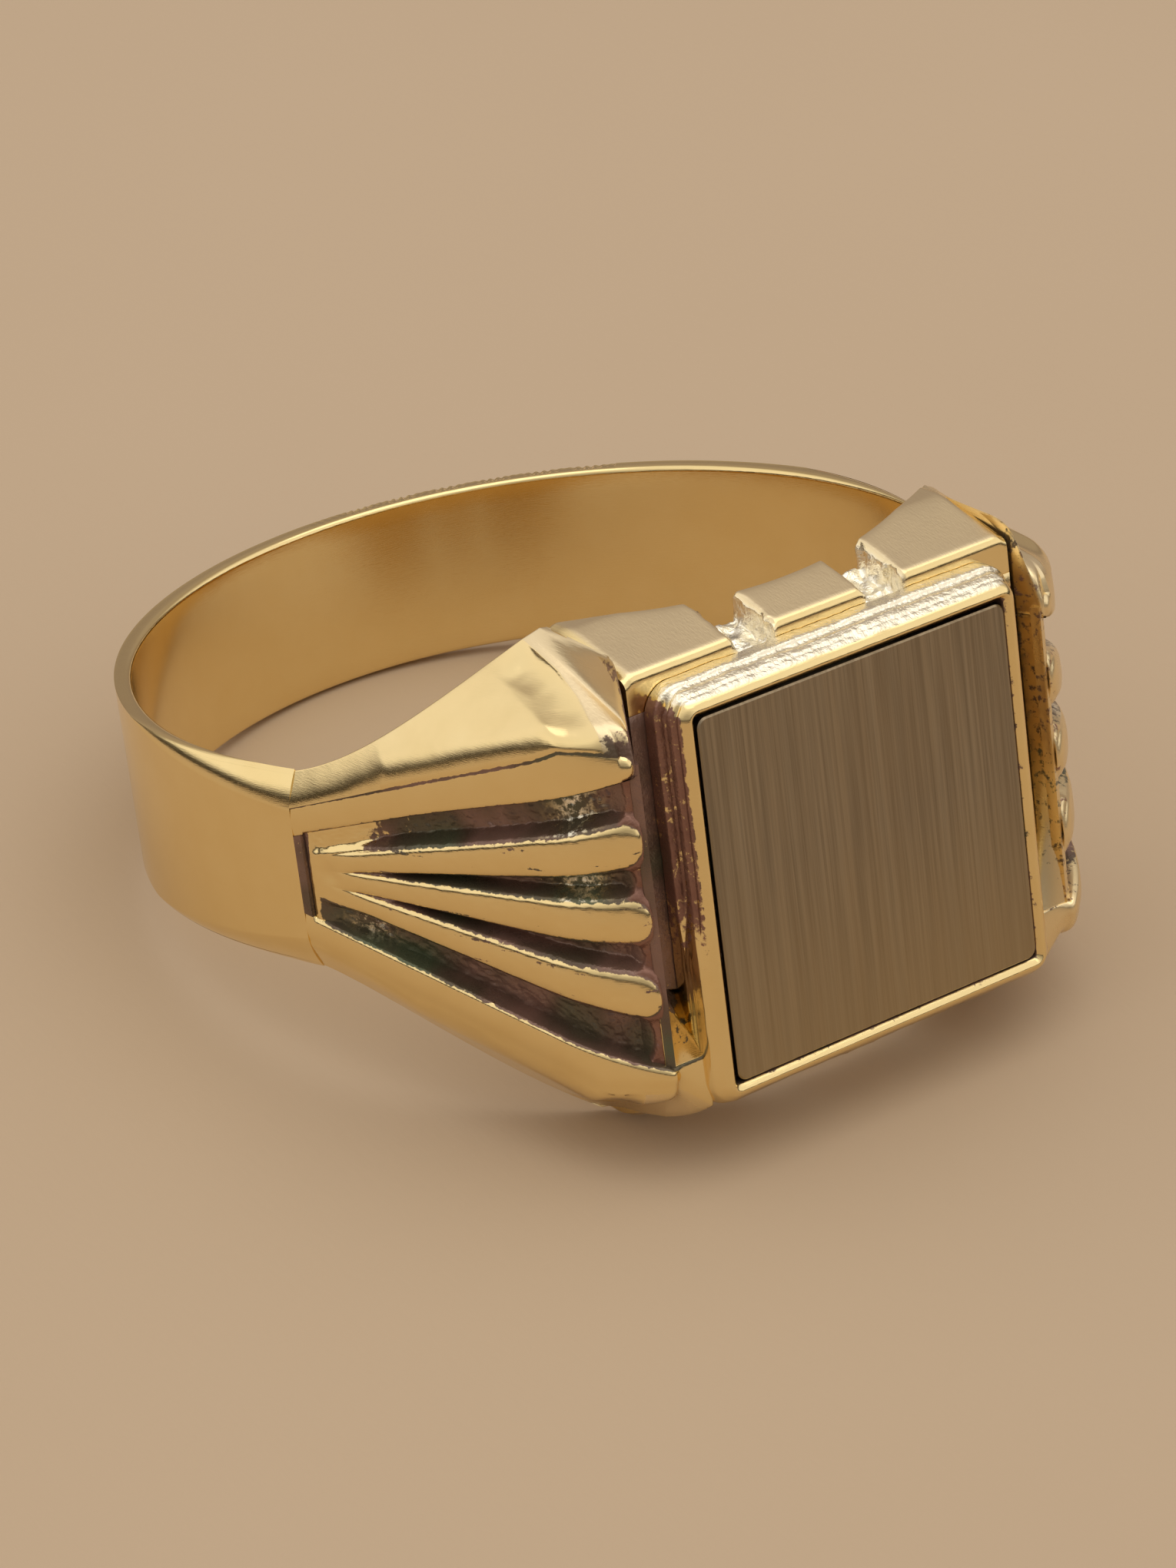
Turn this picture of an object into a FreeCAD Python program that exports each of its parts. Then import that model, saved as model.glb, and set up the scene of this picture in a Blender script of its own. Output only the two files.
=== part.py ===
import FreeCAD, Part
import math
import os
import sys

import Sketcher

# Signet ring with a square table, notched side rails and fluted shoulders.
#
# The ring's frame, in millimetres: Z is the axis of the finger hole, the origin is on that axis at mid-width,
# and the head faces -Y. The ring is symmetric about the XY plane, and the right side (+X) mirrors the left.
# A shoulder and its rib fan are drawn in the shoulder's own frame, which is the ring's frame turned about Z
# until the shoulder's outer face looks along -Y: there X runs from the shoulder's start towards the head, and
# -Y is the distance from the axis. Every piece is soldered or pressed in place, so nothing moves.

doc = FreeCAD.newDocument("signet_ring")

# ---------------------------------------------------------------- driving dimensions
SIZES = [
    ("bore_radius", 10.0, "finger hole"),
    ("band_thickness", 0.42, "hoop, from the bore to its outside"),
    ("back_half_width", 2.18, "hoop, half-width opposite the head"),
    ("start_half_width", 2.48, "hoop, half-width where the shoulders start"),
    ("start_angle", 69.5, "from the head's direction to a shoulder's start, degrees"),
    ("seam_angle", 135.0, "from the head's direction to the sizing seam, degrees"),
    ("hoop_bevel_slope", 1.81, "hoop's bevel, drop per mm outwards"),
    ("hoop_bevel_tilt", 10.0, "hoop's bevel, tilt of its cone, which runs it out towards the back, degrees"),
    ("hoop_bevel_height", 2.77, "hoop's bevel, height of its cone at the bore radius"),
    ("face_half_start", 1.64, "shoulder's outer face, half-width at its start"),
    ("face_half_end", 4.55, "shoulder's outer face, half-width at the end section"),
    ("facet_slope_start", 2.10, "side facet, rise per mm towards the axis at the shoulder's start"),
    ("facet_slope_middle", 1.08, "the same at the middle section"),
    ("facet_slope_end", 0.72, "the same at the end section"),
    ("section_middle", 5.90, "shoulder's start to its middle section"),
    ("section_end", 9.60, "shoulder's start to its end section"),
    ("section_beyond", 0.60, "how far the sections of the side facet reach out from the outer face"),
    ("section_within", 3.60, "how far they reach in towards the axis"),
    ("nose_start", 6.80, "shoulder's start to where its outer face rounds in"),
    ("nose_x", 5.70, "inner edge of the rounded nose, from the middle of the head"),
    ("nose_y", 12.22, "inner edge of the rounded nose, forward of the axis"),
    ("head_half_width", 5.35, "head between the shoulders, half-width"),
    ("head_half_height", 6.02, "head over its blocks, half-height"),
    ("base_front", 11.40, "front of the head's floor, forward of the axis"),
    ("base_half_height", 4.55, "head's floor between the rails, half-height"),
    ("rail_break", 9.20, "where the blocks' tops start to slope, forward of the axis"),
    ("rail_front_height", 5.45, "height of the blocks' tops at their front edge"),
    ("block_half_width", 1.30, "middle block, half-width"),
    ("notch_width", 1.05, "gap between neighbouring blocks"),
    ("notch_depth", 0.65, "depth of the gaps below the blocks' tops"),
    ("frame_foot_half", 4.98, "frame, half-width at its foot"),
    ("frame_waist_half", 4.84, "frame, half-width above its side groove"),
    ("frame_rim_half", 4.66, "frame, half-width at its front rim"),
    ("frame_extra_height", 0.14, "half-height of the frame over its half-width, at every level"),
    ("frame_front", 12.50, "frame's front rim, forward of the axis"),
    ("frame_foot_height", 0.44, "frame's foot below the side groove"),
    ("frame_groove", 0.14, "width and depth of the frame's side groove"),
    ("frame_corner", 0.40, "frame's corner radius"),
    ("frame_softening", 0.10, "chamfer round the frame's front rim"),
    ("plate_half_width", 4.30, "table plate, half-width"),
    ("plate_half_height", 4.42, "table plate, half-height"),
    ("plate_front", 12.46, "front of the table plate, forward of the axis"),
    ("plate_corner", 0.25, "table plate's corner radius"),
    ("plate_softening", 0.04, "chamfer round the table plate's front"),
    ("plate_clearance", 0.03, "gap between the plate and its frame, all round"),
    ("corner_turn", 25.4, "degrees that the cut over the nose turns away from the outer face"),
    ("corner_half_nose", 4.32, "height of the cut over the nose, at the nose"),
    ("corner_half_head", 5.40, "height of the cut over the nose, where it meets the head"),
    ("recess_start", 0.25, "shoulder's start to the recess for the rib fan"),
    ("recess_floor", 10.12, "recess floor at its start, from the axis"),
    ("fan_end_share", 0.40, "part of the shoulder's end face that the rib fan makes up, from the nose down"),
    ("recess_half_start", 0.97, "recess, half-width at the shoulder's start"),
    ("recess_half_end", 3.70, "recess, half-width at the end section"),
    ("fan_root", 10.20, "top of the rib fan's root, from the axis"),
    ("crown_start", 4.50, "shoulder's start to where the ribs reach full height"),
    ("flute_floor_start", 10.15, "flute floor at the recess's start, from the axis"),
    ("flute_floor_end", 9.62, "flute floor at the flutes' wide end, from the axis"),
    ("outer_flute_start", 0.45, "shoulder's start to the outer flutes"),
    ("inner_flute_start", 1.60, "shoulder's start to the inner flutes"),
    ("flute_end", 8.90, "shoulder's start to the flutes' wide end"),
    ("rib_half_start", 0.17, "rib, half-width at the shoulder's start"),
    ("rib_half_end", 0.46, "rib, half-width at the end section"),
    ("rib_pitch_start", 0.22, "spacing of the ribs at the shoulder's start"),
    ("rib_pitch_end", 1.93, "spacing of the ribs at the end section"),
]


def make_sheet():
    """Write each driving dimension to the sheet as a plain number with an alias."""
    sheet = doc.addObject("Spreadsheet::Sheet", "sizes")
    for row, (alias, value, note) in enumerate(SIZES, start=1):
        sheet.set(f"A{row}", alias)
        sheet.set(f"B{row}", str(value))
        sheet.setAlias(f"B{row}", alias)
        sheet.set(f"C{row}", note)
    doc.recompute()
    return sheet


sheet = make_sheet()

# ---------------------------------------------------------------- expressions shared by several pieces
# In these, {alias} stands for a cell of the sheet.
OUTER_RADIUS = "({bore_radius} + {band_thickness})"
HEAD_INNER_Y = "(-sqrt({bore_radius}^2 - {head_half_width}^2))"
NOSE = ("(-{nose_x})", "(-{nose_y})")
HEAD_CORNER = ("(-{head_half_width})", "(-{base_front})")
FAN_FOOT = tuple(f"({nose} + {{fan_end_share}} * ({corner} - {nose}))"
                 for nose, corner in zip(NOSE, HEAD_CORNER))
BEYOND = "(2 * {head_half_height})"
TOUCHING = 1e-4


def fill(template):
    """Turn each {alias} into a reference to the sheet."""
    return template.format(**{alias: f"<<sizes>>.{alias}" for alias, _, _ in SIZES})


def value_of(template):
    """The present value of an expression, in millimetres or degrees."""
    result = sheet.evalExpression(template.format(**{alias: alias for alias, _, _ in SIZES}))
    return float(getattr(result, "Value", result))


def evenly(start, end, station):
    """A size that changes evenly from the shoulder's start to its end section, at a station between."""
    return f"({start} + ({end} - {start}) * {station} / {{section_end}})"


def in_shoulder_frame(x, y):
    """A point of the ring's XY plane, as seen in the left shoulder's frame."""
    turned_x = f"({x} * cos({{start_angle}}) - {y} * sin({{start_angle}}))"
    turned_y = f"({x} * sin({{start_angle}}) + {y} * cos({{start_angle}}))"
    return turned_x, turned_y


def recess_half(station):
    return evenly("{recess_half_start}", "{recess_half_end}", station)


def rib_edge(station, pitches, side):
    """Height of one edge of a rib: its centre line is some pitches up, and side is +1 or -1."""
    centre = evenly("{rib_pitch_start}", "{rib_pitch_end}", station)
    half = evenly("{rib_half_start}", "{rib_half_end}", station)
    return f"({pitches} * {centre} + {side} * {half})"


# ---------------------------------------------------------------- sketches and features
def new_body(name):
    body = doc.addObject("PartDesign::Body", name)
    body.Label = name
    return body


def new_shoulder_body(name):
    """A body drawn in the left shoulder's frame and turned into place."""
    body = new_body(name)
    body.Placement = FreeCAD.Placement(FreeCAD.Vector(0, 0, 0), FreeCAD.Rotation(FreeCAD.Vector(0, 0, 1), 0))
    bind(body, "Placement.Rotation.Angle", "-{start_angle}")
    return body


def origin_plane(body, role):
    return next(feature for feature in body.Origin.OriginFeatures if feature.Role == role)


def bind(obj, path, template):
    obj.setExpression(path, fill(template))


def new_sketch(body, name, role, lift="0", turn_axis=(0, 0, 1), turn="0", shift="0"):
    """A sketch on one of the body's origin planes, lifted along the plane's normal, shifted along the
    sketch's own X and turned about an axis of the sketch."""
    sketch = body.newObject("Sketcher::SketchObject", name)
    sketch.AttachmentSupport = [(origin_plane(body, role), "")]
    sketch.MapMode = "FlatFace"
    turning = FreeCAD.Rotation(FreeCAD.Vector(*turn_axis), value_of(turn))
    sketch.AttachmentOffset = FreeCAD.Placement(FreeCAD.Vector(value_of(shift), 0, value_of(lift)), turning)
    bind(sketch, "AttachmentOffset.Base.z", lift)
    bind(sketch, "AttachmentOffset.Base.x", shift)
    if turn != "0":
        bind(sketch, "AttachmentOffset.Rotation.Angle", turn)
    return sketch


def hold_point(sketch, geometry, position, x, y):
    """Hold one end of a sketch element at the expressions x and y."""
    for kind, template in (("DistanceX", x), ("DistanceY", y)):
        constraint = Sketcher.Constraint(kind, -1, 1, geometry, position, value_of(template))
        index = sketch.addConstraint(constraint)
        bind(sketch, f"Constraints[{index}]", template)


def arc_between(start, end, centre):
    """A circular arc between two points, and whether it runs counter-clockwise from start to end."""
    first = math.atan2(start.y - centre.y, start.x - centre.x)
    last = math.atan2(end.y - centre.y, end.x - centre.x)
    forward = (last - first) % (2 * math.pi) < math.pi
    low, high = (first, last) if forward else (last, first)
    circle = Part.Circle(centre, FreeCAD.Vector(0, 0, 1), (start - centre).Length)
    return Part.ArcOfCircle(circle, low, low + (high - low) % (2 * math.pi)), forward


def arc_centre(start, end, bend, before):
    """Centre of the arc that a bend describes. A bend is ("left" or "right", radius), by the side of the
    path that the centre lies on, or ("tangent", None) for an arc that carries on from the side before it."""
    chord = end - start
    across = FreeCAD.Vector(-chord.y, chord.x, 0).normalize()
    side, radius = bend
    if side == "tangent":
        heading = (start - before).normalize()
        turn = heading.getAngle(chord)
        leftward = heading.x * chord.y - heading.y * chord.x > 0
        distance = chord.Length / (2 * math.tan(turn))
    else:
        leftward = side == "left"
        distance = math.sqrt(value_of(radius) ** 2 - (chord.Length / 2) ** 2)
    return (start + end) / 2 + across * (distance if leftward else -distance)


def add_outline(sketch, vertices, bends=None):
    """A closed outline through vertices, each a pair of expressions. bends gives the sides that are arcs, by
    the number of the vertex that they start from; the others are straight."""
    bends = bends or {}
    points = [FreeCAD.Vector(value_of(x), value_of(y), 0) for x, y in vertices]
    count = len(points)
    sides = []
    for i, start in enumerate(points):
        end = points[(i + 1) % count]
        if i in bends:
            shape, forward = arc_between(start, end, arc_centre(start, end, bends[i], points[i - 1]))
        else:
            shape, forward = Part.LineSegment(start, end), True
        sides.append((sketch.addGeometry(shape, False), 1 if forward else 2, 2 if forward else 1))
    for i, (side, first, last) in enumerate(sides):
        following, following_first, _ = sides[(i + 1) % count]
        if bends.get((i + 1) % count, ("", None))[0] == "tangent":
            sketch.addConstraint(Sketcher.Constraint("Tangent", side, last, following, following_first))
        else:
            sketch.addConstraint(Sketcher.Constraint("Coincident", side, last, following, following_first))
        hold_point(sketch, side, first, *vertices[i])
        if i in bends and bends[i][1] is not None:
            index = sketch.addConstraint(Sketcher.Constraint("Radius", side, value_of(bends[i][1])))
            bind(sketch, f"Constraints[{index}]", bends[i][1])


def add_rounded_rectangle(sketch, half_x, half_y, radius):
    """A rectangle about the sketch's origin with four rounded corners."""
    vertices = []
    for corner_x, corner_y, x_first in ((1, -1, True), (1, 1, False), (-1, 1, True), (-1, -1, False)):
        near_x = (f"{corner_x} * ({half_x} - {radius})", f"{corner_y} * {half_y}")
        near_y = (f"{corner_x} * {half_x}", f"{corner_y} * ({half_y} - {radius})")
        vertices += [near_x, near_y] if x_first else [near_y, near_x]
    add_outline(sketch, vertices, {i: ("left", radius) for i in (0, 2, 4, 6)})


def add_feature(body, kind, name, profile):
    feature = body.newObject(f"PartDesign::{kind}", name)
    feature.Profile = profile
    profile.Visibility = False
    return feature


def pad(body, name, sketch, length, symmetric=False, taper="0"):
    feature = add_feature(body, "Pad", name, sketch)
    feature.SideType = "Symmetric" if symmetric else "One side"
    bind(feature, "Length", length)
    bind(feature, "TaperAngle", taper)
    return feature


def expect_change(body, before, name):
    """Stop if a cut or a mirror left the body as it was."""
    doc.recompute()
    if abs(body.Shape.Volume - before) < 1e-6:
        sys.exit(f"{name} changed nothing in {body.Label}")


def pocket_through(body, name, sketch, outwards=False):
    """Cut right through on both sides of a sketch, or only along its normal."""
    doc.recompute()
    before = body.Shape.Volume
    pocket = add_feature(body, "Pocket", name, sketch)
    pocket.Type = "ThroughAll"
    pocket.SideType = "One side" if outwards else "Symmetric"
    pocket.Reversed = outwards
    expect_change(body, before, name)
    return pocket


def mirror_features(body, name, originals, role):
    """Repeat features on the other side of one of the body's origin planes."""
    doc.recompute()
    before = body.Shape.Volume
    mirrored = body.newObject("PartDesign::Mirrored", name)
    mirrored.Originals = originals
    mirrored.MirrorPlane = (origin_plane(body, role), [""])
    body.Tip = mirrored
    expect_change(body, before, name)
    return mirrored


def chamfer_front(body, name, front, length):
    """Chamfer every outer edge of a body's front face, which lies at Y = -front."""
    doc.recompute()
    edges = [f"Edge{i}" for i, edge in enumerate(body.Shape.Edges, start=1)
             if all(abs(vertex.Y + value_of(front)) < TOUCHING for vertex in edge.Vertexes)]
    base = body.Tip
    chamfer = body.newObject("PartDesign::Chamfer", name)
    chamfer.Base = (base, edges)
    bind(chamfer, "Size", length)
    body.Tip = chamfer
    return chamfer


def mirrored_piece(source, name, normal):
    """A separate piece that is the mirror image of another across a plane through the origin."""
    piece = doc.addObject("Part::Mirroring", name)
    piece.Label = name
    piece.Source = source
    piece.Normal = normal
    return piece


# ---------------------------------------------------------------- hoop
def make_hoop_part(name, from_angle, to_angle):
    """A stretch of the thin hoop between two angles, each counted counter-clockwise from +X."""
    body = new_body(name)
    plan = new_sketch(body, name + "_plan", "XY_Plane")
    vertices = [(f"{radius} * cos({angle})", f"{radius} * sin({angle})")
                for radius, angle in ((OUTER_RADIUS, from_angle), (OUTER_RADIUS, to_angle),
                                      ("{bore_radius}", to_angle), ("{bore_radius}", from_angle))]
    add_outline(plan, vertices, {0: ("left", OUTER_RADIUS), 2: ("right", "{bore_radius}")})
    pad(body, name + "_strip", plan, "2 * {start_half_width}", symmetric=True)

    start_y = "({bore_radius} * cos({start_angle}))"
    slope = "(({start_half_width} - {back_half_width}) / ({bore_radius} + " + start_y + "))"
    side = new_sketch(body, name + "_taper_line", "YZ_Plane")
    ahead = f"({{back_half_width}} + {slope} * 3 * {{bore_radius}})"
    behind = f"({{back_half_width}} - {slope} * {{bore_radius}})"
    add_outline(side, [("-2 * {bore_radius}", ahead), ("2 * {bore_radius}", behind),
                       ("2 * {bore_radius}", BEYOND), ("-2 * {bore_radius}", BEYOND)])
    taper = pocket_through(body, name + "_taper", side)

    cone = new_sketch(body, name + "_bevel_line", "YZ_Plane", turn="{hoop_bevel_tilt}")
    inner, outer = "({bore_radius} - {band_thickness})", "({bore_radius} + 2 * {band_thickness})"
    top = "({hoop_bevel_height} + {hoop_bevel_slope} * {band_thickness})"
    add_outline(cone, [(outer, "{hoop_bevel_height} - 2 * {hoop_bevel_slope} * {band_thickness}"),
                       (outer, top), (inner, top)])
    doc.recompute()
    before = body.Shape.Volume
    bevel = add_feature(body, "Groove", name + "_bevel", cone)
    bevel.ReferenceAxis = (cone, ["V_Axis"])
    bevel.Angle = 360
    expect_change(body, before, bevel.Name)
    mirror_features(body, name + "_lower_side", [taper, bevel], "XY_Plane")
    return body


# ---------------------------------------------------------------- shoulders
def add_facet_section(body, name, station, slope):
    """A section of the material above the side facet, which slopes up towards the axis."""
    section = new_sketch(body, name, "YZ_Plane", lift=station)
    edge = evenly("{face_half_start}", "{face_half_end}", station)
    outside = f"(-{OUTER_RADIUS} - {{section_beyond}})"
    inside = f"(-{OUTER_RADIUS} + {{section_within}})"
    add_outline(section, [(outside, f"({edge} - {slope} * {{section_beyond}})"),
                          (inside, f"({edge} + {slope} * {{section_within}})"),
                          (inside, BEYOND), (outside, BEYOND)])
    return section


def recess_tilt():
    """Angle by which the recess floor, from its start to the fan's foot, leans away from the outer face."""
    foot_x, foot_y = in_shoulder_frame(*FAN_FOOT)
    return f"atan(({{recess_floor}} + {foot_y}) / ({foot_x} - {{recess_start}}))"


def cut_nose_corner(body, name):
    """Cut off the facet's pointed corner above the nose with a steeper plane, and likewise below."""
    nose_depth, head_depth = (f"({y} * cos({{corner_turn}}) - {x} * sin({{corner_turn}}))"
                              for x, y in (in_shoulder_frame(*NOSE), in_shoulder_frame(*HEAD_CORNER)))
    slope = f"(({{corner_half_head}} - {{corner_half_nose}}) / ({head_depth} - {nose_depth}))"
    outside, inside = f"({nose_depth} - {{section_beyond}})", f"({head_depth} + {{section_beyond}})"
    corner = new_sketch(body, name + "_corner_line", "YZ_Plane", turn_axis=(0, 1, 0), turn="{corner_turn}")
    add_outline(corner, [(outside, f"({{corner_half_nose}} - {slope} * {{section_beyond}})"),
                         (inside, f"({{corner_half_head}} + {slope} * {{section_beyond}})"),
                         (inside, BEYOND), (outside, BEYOND)])
    cut = pocket_through(body, name + "_corner", corner)
    mirror_features(body, name + "_lower_corner", [cut], "XY_Plane")


def make_shoulder(name):
    """Left shoulder: a tapering block along the hoop's tangent with a recess for the rib fan."""
    body = new_shoulder_body(name)
    plan = new_sketch(body, name + "_plan", "XY_Plane")
    vertices = [("0", "(-{bore_radius})"), ("0", f"(-{OUTER_RADIUS})"),
                ("{nose_start}", f"(-{OUTER_RADIUS})"),
                in_shoulder_frame(*NOSE), in_shoulder_frame(*HEAD_CORNER),
                in_shoulder_frame("(-{head_half_width})", HEAD_INNER_Y)]
    add_outline(plan, vertices, {2: ("tangent", None), 5: ("right", "{bore_radius}")})
    pad(body, name + "_block", plan, "2 * {head_half_height}", symmetric=True)

    stations = (("0", "{facet_slope_start}"), ("{section_middle}", "{facet_slope_middle}"),
                ("{section_end}", "{facet_slope_end}"))
    sections = [add_facet_section(body, f"{name}_facet_section_{i}", station, slope)
                for i, (station, slope) in enumerate(stations, start=1)]
    doc.recompute()
    before = body.Shape.Volume
    facet = add_feature(body, "SubtractiveLoft", name + "_facet", sections[0])
    facet.Sections = sections[1:]
    expect_change(body, before, facet.Name)
    mirror_features(body, name + "_lower_facet", [facet], "XY_Plane")
    cut_nose_corner(body, name)

    floor = new_sketch(body, name + "_recess_outline", "XZ_Plane", lift="{recess_floor}",
                       shift="{recess_start}", turn_axis=(0, 1, 0), turn=recess_tilt())
    far = "({section_end} + 2)"
    start_half, far_half = recess_half("{recess_start}"), recess_half(far)
    add_outline(floor, [("0", f"(-{start_half})"), (far, f"(-{far_half})"),
                        (far, far_half), ("0", start_half)])
    pocket_through(body, name + "_recess", floor, outwards=True)
    return body


# ---------------------------------------------------------------- rib fans
def add_flute(sketch, start, lower, upper):
    """Outline of one flute between two edges, each a function of the station along the shoulder."""
    stations = (start, "{flute_end}", "{flute_end}", start)
    edges = (lower, lower, upper, upper)
    add_outline(sketch, [(f"({station} - {{recess_start}})", edge(station))
                         for station, edge in zip(stations, edges)])


def make_rib_fan(name):
    """Left rib fan: three ribs that spread from a low root, with a lip that closes the flutes' wide ends."""
    body = new_shoulder_body(name)
    plan = new_sketch(body, name + "_plan", "XY_Plane")
    vertices = [("{recess_start}", "(-{recess_floor})"), ("{recess_start}", "(-{fan_root})"),
                ("{crown_start}", f"(-{OUTER_RADIUS})"), ("{nose_start}", f"(-{OUTER_RADIUS})"),
                in_shoulder_frame(*NOSE), in_shoulder_frame(*FAN_FOOT)]
    add_outline(plan, vertices, {3: ("tangent", None)})
    pad(body, name + "_wedge", plan, "3 * {recess_half_end}", symmetric=True)

    side = new_sketch(body, name + "_side_line", "XZ_Plane")
    near, far = "0", "({section_end} + 2)"
    add_outline(side, [(near, recess_half(near)), (far, recess_half(far)), (far, BEYOND), (near, BEYOND)])
    trim = pocket_through(body, name + "_side", side)
    mirror_features(body, name + "_lower_side", [trim], "XY_Plane")

    floor = new_sketch(body, name + "_flute_outlines", "XZ_Plane", lift="{flute_floor_start}",
                       shift="{recess_start}", turn_axis=(0, 1, 0),
                       turn="atan(({flute_floor_start} - {flute_floor_end})"
                            " / ({flute_end} - {recess_start}))")
    add_flute(floor, "{inner_flute_start}", lambda at: rib_edge(at, 0, 1),
              lambda at: rib_edge(at, 1, -1))
    add_flute(floor, "{outer_flute_start}", lambda at: rib_edge(at, 1, 1), recess_half)
    flutes = pocket_through(body, name + "_flutes", floor, outwards=True)
    mirror_features(body, name + "_lower_flutes", [flutes], "XY_Plane")
    return body


# ---------------------------------------------------------------- head
def make_head_base(name):
    """Floor of the head, from the finger hole to the frame's seat."""
    body = new_body(name)
    plan = new_sketch(body, name + "_plan", "XY_Plane")
    vertices = [("(-{head_half_width})", HEAD_INNER_Y), ("(-{head_half_width})", "(-{base_front})"),
                ("{head_half_width}", "(-{base_front})"), ("{head_half_width}", HEAD_INNER_Y)]
    add_outline(plan, vertices, {3: ("right", "{bore_radius}")})
    pad(body, name + "_block", plan, "2 * {base_half_height}", symmetric=True)
    return body


def make_gallery_rail(name):
    """Upper side rail: flat-topped blocks with a notch either side of the middle one."""
    body = new_body(name)
    profile = new_sketch(body, name + "_profile", "YZ_Plane")
    back, front = "(-{bore_radius} / 2)", "(-{base_front})"
    add_outline(profile, [(front, "{base_half_height}"), (back, "{base_half_height}"),
                          (back, "{head_half_height}"), ("(-{rail_break})", "{head_half_height}"),
                          (front, "{rail_front_height}")])
    pad(body, name + "_bar", profile, "2 * {head_half_width}", symmetric=True)

    bore = new_sketch(body, name + "_bore_circle", "XY_Plane")
    bore_radius = value_of("{bore_radius}")
    circle = bore.addGeometry(Part.Circle(FreeCAD.Vector(), FreeCAD.Vector(0, 0, 1), bore_radius))
    bore.addConstraint(Sketcher.Constraint("Coincident", circle, 3, -1, 1))
    radius = bore.addConstraint(Sketcher.Constraint("Radius", circle, bore_radius))
    bind(bore, f"Constraints[{radius}]", "{bore_radius}")
    pocket_through(body, name + "_bore", bore)

    notch = new_sketch(body, name + "_notch_profile", "YZ_Plane",
                       lift="({block_half_width} + {notch_width} / 2)")
    high, low = "({head_half_height} - {notch_depth})", "({rail_front_height} - {notch_depth})"
    add_outline(notch, [(front, low), ("(-{rail_break})", high), (back, high),
                        (back, BEYOND), (front, BEYOND)])
    doc.recompute()
    before = body.Shape.Volume
    gap = add_feature(body, "Pocket", name + "_notch", notch)
    gap.SideType = "Symmetric"
    bind(gap, "Length", "{notch_width}")
    expect_change(body, before, gap.Name)
    mirror_features(body, name + "_left_notch", [gap], "YZ_Plane")
    return body


def make_bezel_frame(name):
    """Square frame: a foot, a side groove and a tapering rim round the table plate."""
    body = new_body(name)
    levels = ["{base_front}", "({base_front} + {frame_foot_height})",
              "({base_front} + {frame_foot_height} + {frame_groove})", "{frame_front}"]
    halves = ["{frame_foot_half}", "({frame_waist_half} - {frame_groove})", "{frame_waist_half}"]
    rim_taper = f"atan(({{frame_rim_half}} - {{frame_waist_half}}) / ({levels[3]} - {levels[2]}))"
    tapers = ["0", "0", rim_taper]
    for i, step in enumerate(("foot", "groove", "rim")):
        outline = new_sketch(body, f"{name}_{step}_outline", "XZ_Plane", lift=levels[i])
        half_height = f"({halves[i]} + {{frame_extra_height}})"
        add_rounded_rectangle(outline, halves[i], half_height, "{frame_corner}")
        pad(body, f"{name}_{step}", outline, f"({levels[i + 1]} - {levels[i]})", taper=tapers[i])
    chamfer_front(body, name + "_softening", "{frame_front}", "{frame_softening}")

    seat = new_sketch(body, name + "_seat_outline", "XZ_Plane", lift="{base_front}")
    add_rounded_rectangle(seat, "({plate_half_width} + {plate_clearance})",
                          "({plate_half_height} + {plate_clearance})", "({plate_corner} + {plate_clearance})")
    pocket_through(body, name + "_seat", seat, outwards=True)
    return body


def make_table_plate(name):
    """Square plate with a brushed front, a hair below the frame's rim."""
    body = new_body(name)
    outline = new_sketch(body, name + "_outline", "XZ_Plane", lift="{base_front}")
    add_rounded_rectangle(outline, "{plate_half_width}", "{plate_half_height}", "{plate_corner}")
    pad(body, name + "_slab", outline, "({plate_front} - {base_front})")
    chamfer_front(body, name + "_softening", "{plate_front}", "{plate_softening}")
    return body


# ---------------------------------------------------------------- assembly
LEFT_START, RIGHT_START, SEAM = "(270 - {start_angle})", "({start_angle} - 90)", "({seam_angle} - 90)"

shoulder_left = make_shoulder("shoulder_left")
rib_fan_left = make_rib_fan("rib_fan_left")
rail_upper = make_gallery_rail("gallery_rail_upper")
pieces = [
    make_hoop_part("shank_left", SEAM, LEFT_START),
    make_hoop_part("shank_right", RIGHT_START, SEAM),
    shoulder_left,
    mirrored_piece(shoulder_left, "shoulder_right", (1, 0, 0)),
    rib_fan_left,
    mirrored_piece(rib_fan_left, "rib_fan_right", (1, 0, 0)),
    make_head_base("head_base"),
    rail_upper,
    mirrored_piece(rail_upper, "gallery_rail_lower", (0, 0, 1)),
    make_bezel_frame("bezel_frame"),
    make_table_plate("table_plate"),
]
doc.recompute()

# ---------------------------------------------------------------- checks and files
failed = [obj.Name for obj in doc.Objects if "Invalid" in obj.State or "Error" in obj.State]
if failed:
    sys.exit(f"these objects failed: {failed}")
for piece in pieces:
    if piece.Shape.isNull() or not piece.Shape.isValid() or len(piece.Shape.Solids) != 1:
        sys.exit(f"{piece.Label} isn't one valid solid")

os.makedirs("parts", exist_ok=True)
for piece in pieces:
    piece.Shape.exportStep(f"parts/{piece.Label}.step")
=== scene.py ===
import math

import bpy
import numpy as np
from mathutils import Matrix, Vector


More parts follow.
